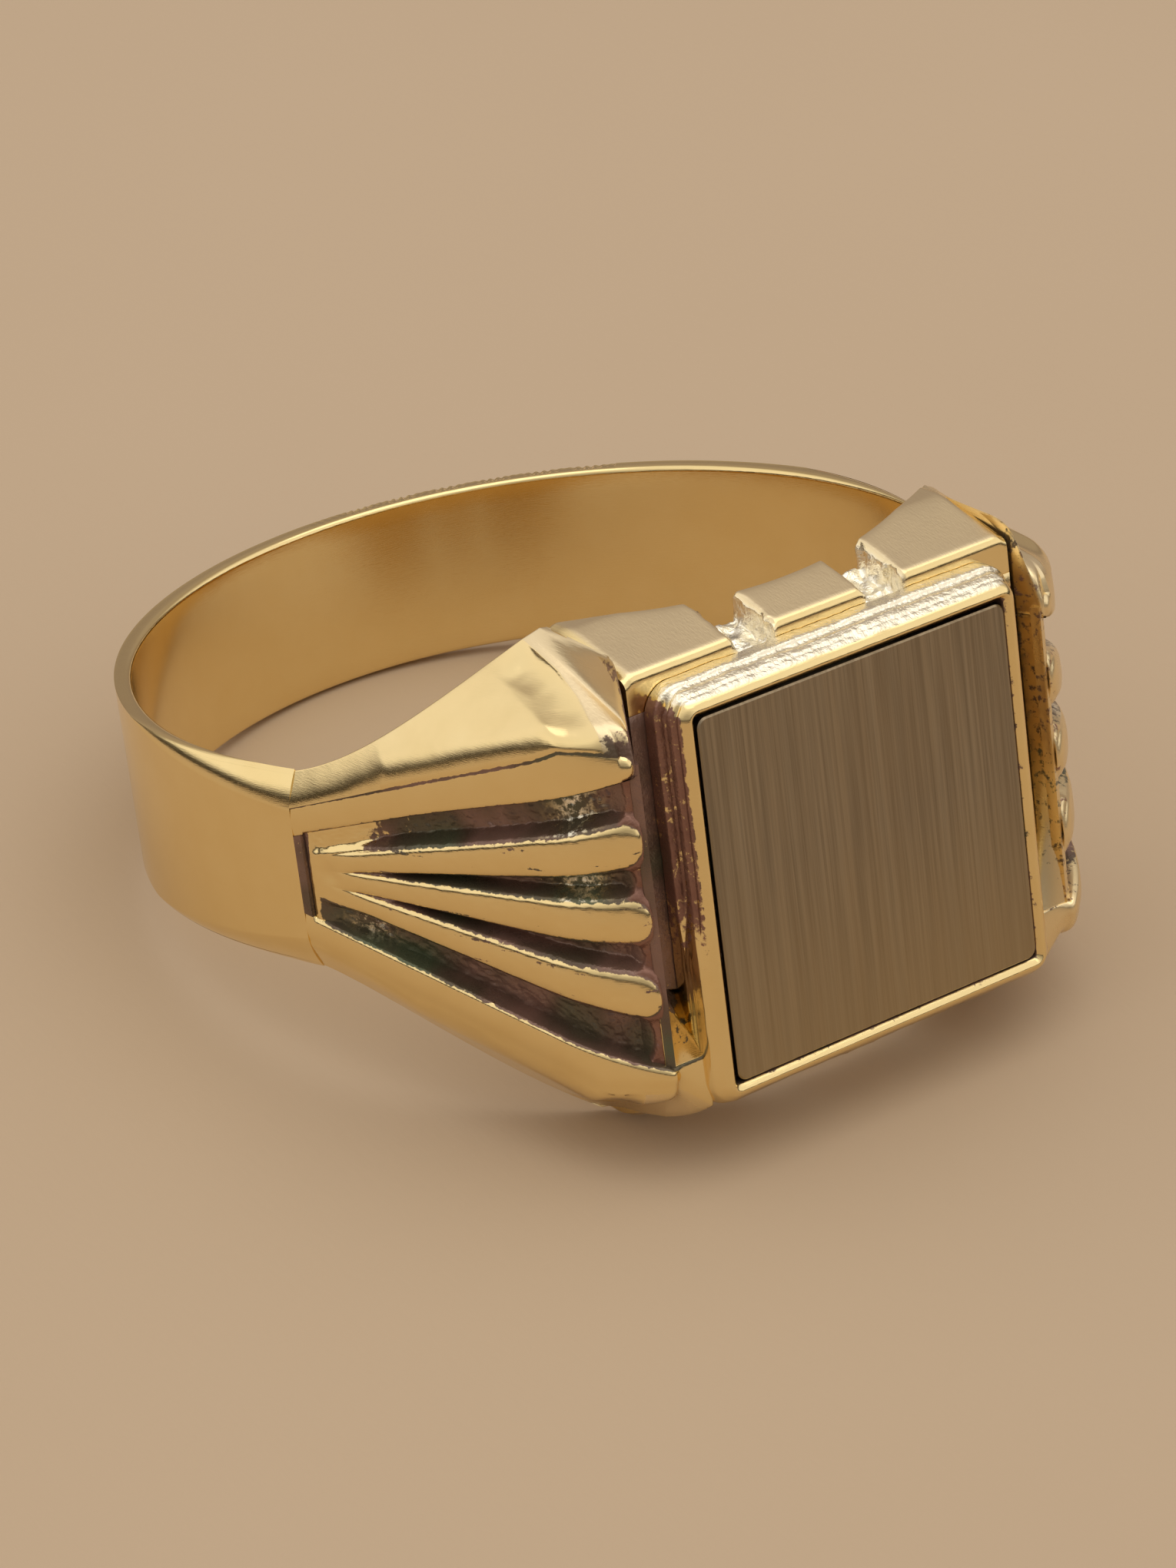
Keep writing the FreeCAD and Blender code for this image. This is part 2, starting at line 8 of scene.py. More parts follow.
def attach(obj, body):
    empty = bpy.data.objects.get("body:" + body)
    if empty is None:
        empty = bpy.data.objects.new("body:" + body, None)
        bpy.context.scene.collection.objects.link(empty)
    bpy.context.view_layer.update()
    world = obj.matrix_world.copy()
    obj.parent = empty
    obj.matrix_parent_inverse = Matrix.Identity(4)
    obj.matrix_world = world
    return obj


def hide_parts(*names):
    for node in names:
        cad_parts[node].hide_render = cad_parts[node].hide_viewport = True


# Signet ring. The finger hole's axis is Z and the head faces -Y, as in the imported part. Shapes are worked out
# in millimetres and turned into metres when a mesh is made.
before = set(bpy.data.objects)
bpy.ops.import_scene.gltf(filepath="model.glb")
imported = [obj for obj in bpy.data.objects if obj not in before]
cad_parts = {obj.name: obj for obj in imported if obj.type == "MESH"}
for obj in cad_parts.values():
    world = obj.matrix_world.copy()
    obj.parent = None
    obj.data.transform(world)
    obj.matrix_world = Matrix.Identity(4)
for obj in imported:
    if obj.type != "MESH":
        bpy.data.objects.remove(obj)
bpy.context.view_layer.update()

MM = 0.001

# ---------------------------------------------------------------- sizes, in millimetres
# hoop: hole radius, strip thickness, half widths at the back and at the shoulders, and where its pieces meet
BORE = 10.0
BAND = 0.42
OUTER = BORE + BAND
SKIN = 0.001
BACK_HALF, START_HALF = 2.18, 2.48
START_ANGLE = math.radians(69.5)
SEAM_ANGLE = math.radians(45.0)
RIDGES_END = math.radians(93.0)
HOOP_STEP, RIDGED_STEP = math.radians(1.0), math.radians(0.16)
RIDGE_PITCH, RIDGE_LEAST, RIDGE_DEPTH = 0.21, 0.012, 0.05
BEVEL_SLOPE, BEVEL_TILT, BEVEL_HEIGHT = 1.81, math.radians(10.0), 2.77

# shoulders: outer face and side facets, nose beside the head, and corners of the end face
FACE_HALF_START, FACE_GROWTH = 1.64, 0.303
FACET_STATIONS, FACET_SLOPES = (0.0, 5.9, 9.6), (2.0, 1.08, 0.72)
FACET_STEEP = 0.50
NOSE_START, NOSE_SN, HEAD_SN = 6.8, (9.455, 9.617), (8.812, 9.004)
NOSE_ROUNDING = 0.30
SHOULDER_HALF_X, SHOULDER_END_N = 6.045, 7.965
TIP_HALF = 4.06
CORNER_UPPER, CORNER_LOWER = 5.40, 4.84
BRIDGE_REACH = (0.68, -0.52, 0.0)
SCOOP_Y = (-12.2, -11.68, -11.12, -10.36, -9.45, -8.4)
SCOOP_RIDGE = (1.0, 0.96, 0.84, 0.60, 0.46, 0.46)
SCOOP_WIDTH, SCOOP_DEPTH, CHAMFER_DEPTH = 1.7, 0.10, 0.07
FACET_FACING = (-0.5, -0.45, 0.75)

# recess and the fan of three ribs in it
RECESS_START, RECESS_HALF_START, RECESS_GROWTH = 0.25, 0.97, 0.2844
RECESS_UPPER_DROP = 0.22
RIB_HALF_START, RIB_HALF_GROWTH, RIB_HALF_MOST = 0.20, 0.0370, 0.52
PITCH_START, PITCH_GROWTH = 0.22, 0.178
ROOT_STATIONS, ROOT_RADII = (0.25, 0.4, 1.5, 3.8, 5.5), (10.32, 10.33, 10.35, 10.39, OUTER)
FLUTE_START, FLUTE_GROWTH, FLUTE_MOST = 0.14, 0.075, 0.44
LIP_AT, LIP_CURVE, LIP_LEVEL = 8.78, 0.20, 0.13
UNDER_SHARES = (1, 0.5, 0, -0.5, -1)

# head, rails and moulding
HEAD_HALF = 5.35
HEAD_TOP, RAIL_FRONT_TOP, RAIL_FRONT_LOW, RAIL_BREAK = 6.02, 5.45, 5.08, 9.2
BASE_FRONT, BASE_HALF = 11.4, 4.55
BLOCK_HALF, NOTCH_WIDTH, NOTCH_DEPTH, NOTCH_LEAN = 1.3, 1.05, 0.65, 0.05
FRAME_RIM, FRAME_EXTRA, FRAME_CORNER = 4.66, 0.14, 0.40
FRAME_TOP_PLAIN = 0.72

# share of the patina that is left on the right-hand pieces
WORN_SIDE = 0.35


# ---------------------------------------------------------------- helpers for shapes
def smoothstep(value, low, high):
    share = np.clip((np.asarray(value, float) - low) / (high - low), 0, 1)
    return share * share * (3 - 2 * share)


def value_noise(points, cell, seed):
    """Smooth noise from -1 to 1 at points, with features about one cell across."""
    scaled = np.asarray(points, float) / cell
    corner = np.floor(scaled).astype(np.int64)
    share = scaled - corner
    share = share * share * (3 - 2 * share)
    total = np.zeros(scaled.shape[:-1])
    for step in np.ndindex(2, 2, 2):
        at = corner + np.array(step)
        mixed = (at[..., 0] * 73856093) ^ (at[..., 1] * 19349663) ^ (at[..., 2] * 83492791)
        mixed = mixed ^ (seed * 2654435761)
        mixed = (mixed ^ (mixed >> 13)) * 1274126177
        level = ((mixed ^ (mixed >> 16)) & 0xFFFF) / 32767.5 - 1
        weight = np.prod(np.where(np.array(step) == 1, share, 1 - share), axis=-1)
        total += level * weight
    return total


def unit(vectors):
    return vectors / np.maximum(np.linalg.norm(vectors, axis=-1, keepdims=True), 1e-12)


def joined_spans(*spans):
    """Values along spans (start, end, count) that follow one another, with no value given twice."""
    return np.concatenate([np.linspace(*span)[:-1] for span in spans[:-1]] + [np.linspace(*spans[-1])])


def rounded_loops(corners, setbacks, arc_steps=4, edge_steps=1, limit=0.49):
    """Closed loops through corners, an array (stations, corners, 3), with each corner rounded off over its
    setback, or over limit times the edge's length if that is less. Every loop gets the same number of
    points."""
    stations, count, _ = corners.shape
    setbacks = np.broadcast_to(np.asarray(setbacks, float), (stations, count))
    limits = np.broadcast_to(np.asarray(limit, float), (count,))
    steps = [edge_steps] * count if isinstance(edge_steps, int) else edge_steps
    starts, ends = [], []
    for i in range(count):
        for side, found in ((-1, starts), (1, ends)):
            reach = corners[:, (i + side) % count] - corners[:, i]
            length = np.linalg.norm(reach, axis=1, keepdims=True)
            back = np.minimum(setbacks[:, i:i + 1], limits[i] * length)
            found.append(corners[:, i] + unit(reach) * back)
    rows = []
    for i in range(count):
        for share in np.linspace(0, 1, arc_steps + 1):
            rows.append((1 - share) ** 2 * starts[i] + 2 * share * (1 - share) * corners[:, i]
                        + share ** 2 * ends[i])
        following = starts[(i + 1) % count]
        for share in np.linspace(0, 1, steps[i] + 1)[1:-1]:
            rows.append(ends[i] + (following - ends[i]) * share)
    return np.stack(rows, axis=1)


def make_object(name, points, faces, attributes):
    mesh = bpy.data.meshes.new(name)
    mesh.from_pydata((np.asarray(points) * MM).tolist(), [], faces)
    mesh.validate()
    for key, values in attributes.items():
        layer = mesh.attributes.new(key, "FLOAT", "POINT")
        layer.data.foreach_set("value", np.asarray(values, np.float32).ravel())
    mesh.shade_smooth()
    mesh.set_sharp_from_angle(angle=math.radians(55))
    mesh.update()
    piece = bpy.data.objects.new(name, mesh)
    bpy.context.scene.collection.objects.link(piece)
    return piece


def tube(name, loops, attributes, ring=False):
    """A closed mesh through loops, an array (stations, points, 3). ring joins the last loop to the first;
    otherwise both ends are capped."""
    stations, count, _ = loops.shape
    points = loops.reshape(-1, 3)
    index = np.arange(stations * count).reshape(stations, count)
    if ring:
        index = np.vstack([index, index[:1]])
    across = np.roll(index, -1, axis=1)
    quads = np.stack([index[:-1], across[:-1], across[1:], index[1:]], axis=-1).reshape(-1, 4)
    faces = quads.tolist()
    if not ring:
        faces.append(index[0][::-1].tolist())
        faces.append(index[-1].tolist())
    first, second, third = (points[quads[:, i]] for i in range(3))
    if np.einsum("ij,ij->i", first, np.cross(second, third)).sum() < 0:
        faces = [face[::-1] for face in faces]
    return make_object(name, points, faces, attributes)


def mirrored(name, source, worn):
    """A second piece, the mirror image of source across the plane x = 0. worn is the share of its patina that
    is left at the head."""
    points = np.array([v.co for v in source.data.vertices]) / MM
    at_head = smoothstep(-points[:, 1], 10.6, 11.3)
    points[:, 0] *= -1
    faces = [list(face.vertices)[::-1] for face in source.data.polygons]
    attributes = {}
    for layer in source.data.attributes:
        if layer.data_type == "FLOAT" and layer.domain == "POINT":
            values = np.zeros(len(points), np.float32)
            layer.data.foreach_get("value", values)
            if layer.name == "oxide":
                values = values * (1 - (1 - worn) * at_head)
            elif layer.name == "satin":
                values = np.maximum(values, (1 - worn) * at_head)
            attributes[layer.name] = values
    return make_object(name, points, faces, attributes)


# ---------------------------------------------------------------- hoop
def bevel_edge(x, y):
    """Height at which the hoop's bevel cuts the cylinder wall through x, y."""
    height = np.full_like(x, FACE_HALF_START)
    cos_tilt, sin_tilt = math.cos(BEVEL_TILT), math.sin(BEVEL_TILT)
    for _ in range(40):
        ahead = y * cos_tilt + height * sin_tilt
        radius = np.hypot(x, ahead)
        height = (BEVEL_HEIGHT - BEVEL_SLOPE * (radius - BORE) + y * sin_tilt) / cos_tilt
    return height


def make_hoop(name, start, end, ridged_from=None, ridged_to=None):
    """The strip of the hoop between two angles. Its top edge has fine tool ridges between two others."""
    angles = np.arange(start, end, HOOP_STEP)
    if ridged_from is not None:
        kept = angles[(angles < ridged_from) | (angles > ridged_to)]
        angles = np.sort(np.concatenate([kept, np.arange(ridged_from, ridged_to, RIDGED_STEP)]))
    angles = np.append(angles[angles < end - 1e-4], end)
    cos_a, sin_a = np.cos(angles), np.sin(angles)
    slope = (START_HALF - BACK_HALF) / (BORE + BORE * math.cos(START_ANGLE))
    half = BACK_HALF + slope * (BORE - OUTER * sin_a)
    outer_edge = np.minimum(bevel_edge(OUTER * cos_a, OUTER * sin_a), half)
    drop = half - outer_edge
    inner_of_bevel = np.maximum(OUTER - np.maximum(drop / BEVEL_SLOPE, 0.02), BORE + 0.012)
    steep = np.minimum(FACET_STEEP, 0.5 * np.hypot(drop, OUTER - inner_of_bevel))
    upper = [(OUTER + 0 * half, outer_edge),
             (OUTER - 0.21 * steep, outer_edge + 0.93 * steep),
             (inner_of_bevel, half),
             (BORE + 0 * half, half)]
    lower = [(r, -z) for r, z in upper[::-1]]
    corners = np.stack([np.stack([r * cos_a, r * sin_a, z], axis=-1) for r, z in upper + lower], axis=1)
    setbacks = [0.035, 0.40, 0.13, 0.15, 0.15, 0.13, 0.40, 0.035]
    limits = [0.12, 0.85, 0.4, 0.49, 0.49, 0.4, 0.85, 0.12]
    loops = rounded_loops(corners, setbacks, 5, [1, 1, 1, 9, 1, 1, 1, 9], limits)
    heights = loops[..., 2]
    radii = np.hypot(loops[..., 0], loops[..., 1])
    if ridged_from is not None:
        near = smoothstep(angles, ridged_from, ridged_from + 0.004)
        near = near * (1 - smoothstep(angles, ridged_to - 0.25, ridged_to))
        arc = angles * OUTER
        wave = np.sin(arc * 2 * math.pi / RIDGE_PITCH + 1.3 * np.sin(arc * 1.7)) * 0.5 + 0.5
        cut = RIDGE_LEAST + RIDGE_DEPTH * wave * (0.6 + 0.4 * np.sin(arc * 5.1))
        on_top = smoothstep(heights - (half[:, None] - 0.10), 0, 0.08)
        on_top = on_top * smoothstep(radii, BORE + 0.12, BORE + 0.30)
        loops[..., 2] -= on_top * (near * cut)[:, None]
    loops[..., 2] += 0.006 * value_noise(loops, 2.3, 4) * np.sign(heights)
    loops[..., :2] *= np.minimum(1, (OUTER - SKIN) / radii)[..., None]
    return tube(name, loops, {"oxide": np.zeros(loops.shape[:2]), "satin": np.zeros(loops.shape[:2])})


# ---------------------------------------------------------------- shoulder outline
def shoulder_to_ring(s, n, z):
    """From the left shoulder's own frame (along, outward, up) to the ring's frame."""
    cos_a, sin_a = math.cos(START_ANGLE), math.sin(START_ANGLE)
    return np.stack([s * cos_a - n * sin_a, -s * sin_a - n * cos_a, z + 0 * s], axis=-1)


def nose_arc():
    """Points of the arc that carries on from the outer face and ends at the nose."""
    chord = np.array(NOSE_SN) - np.array([NOSE_START, OUTER])
    radius = (chord @ chord) / (-2 * chord[1])
    turn = 2 * math.atan2(-chord[1], chord[0])
    angles = np.linspace(0, turn, 80)
    return np.stack([NOSE_START + radius * np.sin(angles), OUTER - radius * (1 - np.cos(angles))], axis=1)


def outline_samples():
    """The shoulder's outline in plan, from its start round the nose to the head, closely spaced."""
    arc = nose_arc()
    nose, head = np.array(NOSE_SN), np.array(HEAD_SN)
    before = nose + unit(arc[-12] - nose) * NOSE_ROUNDING
    after = nose + unit(head - nose) * NOSE_ROUNDING
    kept = arc[np.linalg.norm(arc - nose, axis=1) > NOSE_ROUNDING * 1.02]
    shares = np.linspace(0, 1, 24)[:, None]
    bend = (1 - shares) ** 2 * before + 2 * shares * (1 - shares) * nose + shares ** 2 * after
    face = np.stack([np.linspace(0, NOSE_START, 200)[:-1], np.full(199, OUTER)], axis=1)
    end = after + (head - after) * np.linspace(0, 1, 20)[1:, None]
    return np.concatenate([face, kept, bend, end])


OUTLINE = outline_samples()
OUTLINE_REACH = np.concatenate([[0], np.cumsum(np.linalg.norm(np.diff(OUTLINE, axis=0), axis=1))])
OUTLINE_LENGTH = OUTLINE_REACH[-1]
TIP_REACH = OUTLINE_REACH[np.argmax(OUTLINE[:, 0])]


def outline_at(reach):
    """Point and inward normal of the outline, some way along it."""
    reach = np.asarray(reach, float)
    point = np.stack([np.interp(reach, OUTLINE_REACH, OUTLINE[:, i]) for i in (0, 1)], axis=-1)
    small = 0.03
    ahead = np.stack([np.interp(reach + small, OUTLINE_REACH, OUTLINE[:, i]) for i in (0, 1)], axis=-1)
    behind = np.stack([np.interp(reach - small, OUTLINE_REACH, OUTLINE[:, i]) for i in (0, 1)], axis=-1)
    along = unit(ahead - behind)
    return point, np.stack([along[..., 1], -along[..., 0]], axis=-1)


def face_half(reach):
    return FACE_HALF_START + FACE_GROWTH * reach


def recess_half(reach):
    return RECESS_HALF_START + RECESS_GROWTH * np.minimum(reach, TIP_REACH)


def recess_depth(reach):
    """Depth of the recess under the rib fan, which leaves a thin wall over the finger hole."""
    s = np.minimum(reach, 9.0)
    wall = OUTER - np.sqrt(BORE ** 2 - s ** 2) - 0.03
    most = 0.75 - 0.45 * smoothstep(reach, 8.3, 9.3) - 0.17 * smoothstep(reach, TIP_REACH, TIP_REACH + 0.2)
    return np.minimum(wall, most) * smoothstep(reach, RECESS_START - 0.03, RECESS_START + 0.02)


def bulb(reach, across, half, tip):
    """How far a point is from the middle line of a rounded bar that ends at tip, in half-widths."""
    centre = tip - half
    past = np.maximum(reach - centre, 0)
    return np.hypot(past, across) / half


def bulb_drop(share):
    """How far the surface of a rounded bar lies below its crest."""
    inside = 0.055 * share ** 2 + 0.055 * share ** 8
    return np.where(share < 1, inside, 0.11)


# ---------------------------------------------------------------- shoulders
# corners of a shoulder's section, in the order in which its loops run round it
(UPPER_FLOOR, UPPER_RECESS, UPPER_EDGE, UPPER_STEEP, UPPER_BORE,
 LOWER_BORE, LOWER_STEEP, LOWER_EDGE, LOWER_RECESS, LOWER_FLOOR) = range(10)


def make_shoulder(name):
    """The left shoulder: crowned border bands round a sunk recess, side facets with a scoop near the head,
    and an end face that low down runs across to the moulding."""
    reach = joined_spans((0, 0.2, 6), (0.2, 0.32, 9), (0.32, 8.2, 96), (8.2, OUTLINE_LENGTH, 70))
    point, inward = outline_at(reach)
    stations = len(reach)
    share = reach / OUTLINE_LENGTH
    inner_s = BORE * np.sin(math.asin(SHOULDER_HALF_X / BORE) * share ** 0.85)
    inner_n = np.sqrt(BORE ** 2 - inner_s ** 2)
    inner_n[-1], inner_s[-1] = SHOULDER_END_N, SHOULDER_HALF_X

    slope = np.interp(point[:, 0], FACET_STATIONS, FACET_SLOPES)
    inner_slope = np.interp(inner_s, FACET_STATIONS, FACET_SLOPES)
    edge = face_half(point[:, 0]) + slope * (OUTER - point[:, 1])
    edge = np.where(reach < TIP_REACH, np.minimum(edge, TIP_HALF), TIP_HALF)
    inner_edge = np.minimum(face_half(inner_s) + inner_slope * (OUTER - inner_n), HEAD_TOP - 0.04)
    inner_edge[0] = START_HALF

    across = np.stack([inner_s, inner_n], axis=1) - point
    length = np.linalg.norm(across, axis=1)
    direction = unit(across)
    depth = recess_depth(reach)

    def corner(inset, height):
        """inset runs from the outline straight to the finger hole, height is along the ring's axis."""
        plan = point + direction * np.asarray(inset)[:, None]
        return shoulder_to_ring(plan[:, 0], plan[:, 1], height)

    def sunk(inset, height):
        """The same, with the inset at right angles to the outline."""
        plan = point + inward * np.asarray(inset)[:, None]
        return shoulder_to_ring(plan[:, 0], plan[:, 1], height)

    # the section's ten corners, the upper half's first
    zero = np.zeros(stations)
    steep = np.minimum(FACET_STEEP, 0.5 * length)
    before_tip = smoothstep(reach, 8.2, TIP_REACH - 0.1)
    upper_drop = 0.12 * before_tip * (1 - smoothstep(reach, TIP_REACH, TIP_REACH + 0.3))
    half_below = recess_half(reach)
    half_above = half_below - RECESS_UPPER_DROP * smoothstep(reach, 3.0, TIP_REACH)
    round_nose = smoothstep(reach, TIP_REACH + 0.1, OUTLINE_LENGTH)
    edge_above, edge_below = (edge + (corner_half - TIP_HALF) * round_nose
                              for corner_half in (CORNER_UPPER, CORNER_LOWER))
    halves = []
    for sign, drop, side_half, side_edge in ((1, upper_drop, half_above, edge_above),
                                             (-1, zero, half_below, edge_below)):
        rim = side_edge - drop
        lean = np.clip(0.5 * math.pi - np.arctan2(inner_edge - side_edge, length), 0, 1.4)
        first = np.minimum(0.21 + 0.13 * smoothstep(reach, 2.0, 5.0), 0.6 * lean)
        turned = steep + 0.75 * drop
        halves.append([sunk(depth, sign * (side_half - 0.02)),
                       sunk(zero, sign * side_half),
                       corner(zero, sign * rim),
                       corner(turned * np.sin(first), sign * (rim + turned * np.cos(first))),
                       corner(length, sign * inner_edge)])
    corners = np.stack(halves[0] + halves[1][::-1], axis=1)
    setbacks = [0.01, 0.13, 0.045, 0.40, 0.07, 0.07, 0.40, 0.30, 0.13, 0.01]
    limits = [0.2, 0.35, 0.12, 0.85, 0.2, 0.2, 0.60, 0.38, 0.35, 0.2]
    steps = [6, 10, 1, 26, 8, 26, 1, 10, 6, 4]
    arc_steps = 6
    loops = rounded_loops(corners, setbacks, arc_steps, steps, limits)
    reach_grid = np.broadcast_to(reach[:, None], loops.shape[:2])
    heights = loops[..., 2]
    above = heights > 0

    # the first column of each corner's arc, and weights that fade over an arc
    per_arc = arc_steps + 1
    first_of = np.concatenate([[0], np.cumsum([per_arc + step - 1 for step in steps])])
    columns = loops.shape[1]
    fade_in = np.linspace(0, 1, per_arc)

    # where each point lies on the outer face: the border bands are crowned, and the upper one ends in a bulb
    on_border = np.zeros(columns)
    on_border[first_of[UPPER_RECESS]:first_of[UPPER_STEEP]] = 1
    on_border[first_of[LOWER_EDGE]:first_of[LOWER_FLOOR]] = 1
    on_border[first_of[LOWER_STEEP]:first_of[LOWER_EDGE]] = fade_in
    beside = np.zeros(columns)
    beside[first_of[UPPER_STEEP]:first_of[UPPER_STEEP] + per_arc] = np.linspace(1, 0, per_arc)
    on_border = on_border + beside * smoothstep(reach, TIP_REACH - 0.9, TIP_REACH - 0.4)[:, None]
    border_from = np.where(above, half_above[:, None], half_below[:, None])
    border_to = np.where(above, (edge_above - upper_drop)[:, None], edge_below[:, None])
    middle, band = 0.5 * (border_from + border_to), 0.5 * (border_to - border_from)
    from_middle = np.abs(heights) - middle
    crown = 0.03 * np.clip(np.abs(from_middle) / band, 0, 1) ** 2
    bulb_end = TIP_REACH - 0.12
    past_tip = np.where(above, bulb(reach_grid, from_middle, band, bulb_end), 0)
    in_bulb = (reach_grid > bulb_end - band) & above
    sink = on_border * (crown + np.where(in_bulb, bulb_drop(past_tip), 0))
    inwards = shoulder_to_ring(inward[:, 0], inward[:, 1], 0) - shoulder_to_ring(zero, zero, 0)
    loops = loops + inwards[:, None, :] * sink[..., None]

    # low down, the end face runs across to the moulding's corner
    low_side = np.zeros(columns)
    low_side[first_of[LOWER_EDGE]:] = 1
    low_side[first_of[LOWER_STEEP]:first_of[LOWER_EDGE]] = fade_in
    past_end = smoothstep(reach_grid, TIP_REACH + 0.05, OUTLINE_LENGTH)
    bridge = low_side * smoothstep(-heights, 1.8, 3.6) * past_end
    loops = loops + bridge[..., None] * np.array(BRIDGE_REACH)

    # the scoop and the narrow brushed chamfer beside the outer block
    facet = np.zeros(columns)
    facet[first_of[UPPER_STEEP]:first_of[LOWER_BORE] - 8] = 1
    facet[first_of[LOWER_BORE] + 4:first_of[LOWER_EDGE]] = 1
    from_head = -HEAD_HALF - loops[..., 0]
    ratio = from_head / np.interp(loops[..., 1], SCOOP_Y, SCOOP_RIDGE)
    near_front = smoothstep(loops[..., 1], -12.3, -11.4)
    in_scoop = np.clip((ratio - 1) / SCOOP_WIDTH, 0, 1)
    scoop = np.where((in_scoop > 0) & (in_scoop < 1), np.sin(math.pi * in_scoop ** 0.7), 0)
    scoop = scoop * smoothstep(-loops[..., 1], 8.15, 8.7) * near_front
    chamfer = np.where(ratio < 1, 1 - ratio, 0) * smoothstep(ratio, -0.2, 0.05)
    facing = np.ones(heights.shape + (3,)) * FACET_FACING
    facing[..., 2] = facing[..., 2] * np.sign(heights)
    facing = unit(facing)
    over_edge = smoothstep(np.abs(heights) - edge_above[:, None], 0.15, 0.60)
    pushed = facet * over_edge * (SCOOP_DEPTH * scoop + CHAMFER_DEPTH * chamfer)
    loops = loops - facing * pushed[..., None]
    lumps = 0.012 * value_noise(loops, 0.55, 11) + 0.006 * value_noise(loops, 0.22, 12)
    loops = loops + facing * (facet * (0.25 + scoop) * lumps)[..., None]

    # patina in the recess, along the borders' inner edges, past the bulb and on the end face, and painted
    # shadow on the step where the recess starts
    in_recess = np.zeros(loops.shape[:2])
    in_recess[:, :first_of[UPPER_RECESS]] = 1
    in_recess[:, first_of[LOWER_FLOOR]:] = 1
    # past the fan's root the recess carries patina; before it, the step down is darkened as painted shadow
    recess_patina_and_step_shadow = smoothstep(reach_grid, 0.34, 0.5) + 1 - smoothstep(reach_grid, 0.27, 0.31)
    low_end = smoothstep(reach_grid, TIP_REACH - 0.1, TIP_REACH + 0.05) * smoothstep(-heights, 1.6, 3.0)
    past_bulb = on_border * smoothstep(past_tip, 0.93, 1.05) * above
    inner_line = on_border * smoothstep(border_from + 0.10 - np.abs(heights), 0, 0.10)
    inner_line = inner_line * smoothstep(reach_grid, 0.3, 0.6)
    bore_side = np.zeros(columns)
    bore_side[first_of[UPPER_BORE]:first_of[LOWER_STEEP]] = 1
    end_face = smoothstep(reach_grid, TIP_REACH - 0.02, TIP_REACH + 0.1) * smoothstep(heights, -3.6, -1.8)
    oxide = np.maximum(in_recess * recess_patina_and_step_shadow * (1 - low_end), past_bulb)
    oxide = np.maximum(oxide, inner_line)
    oxide = np.maximum(oxide, end_face * (1 - facet) * (1 - bore_side))
    brushed = facet * np.maximum(smoothstep(1.02 - ratio, 0, 0.06) * near_front, 0.22 * over_edge)
    return tube(name, loops, {"oxide": oxide, "satin": brushed})


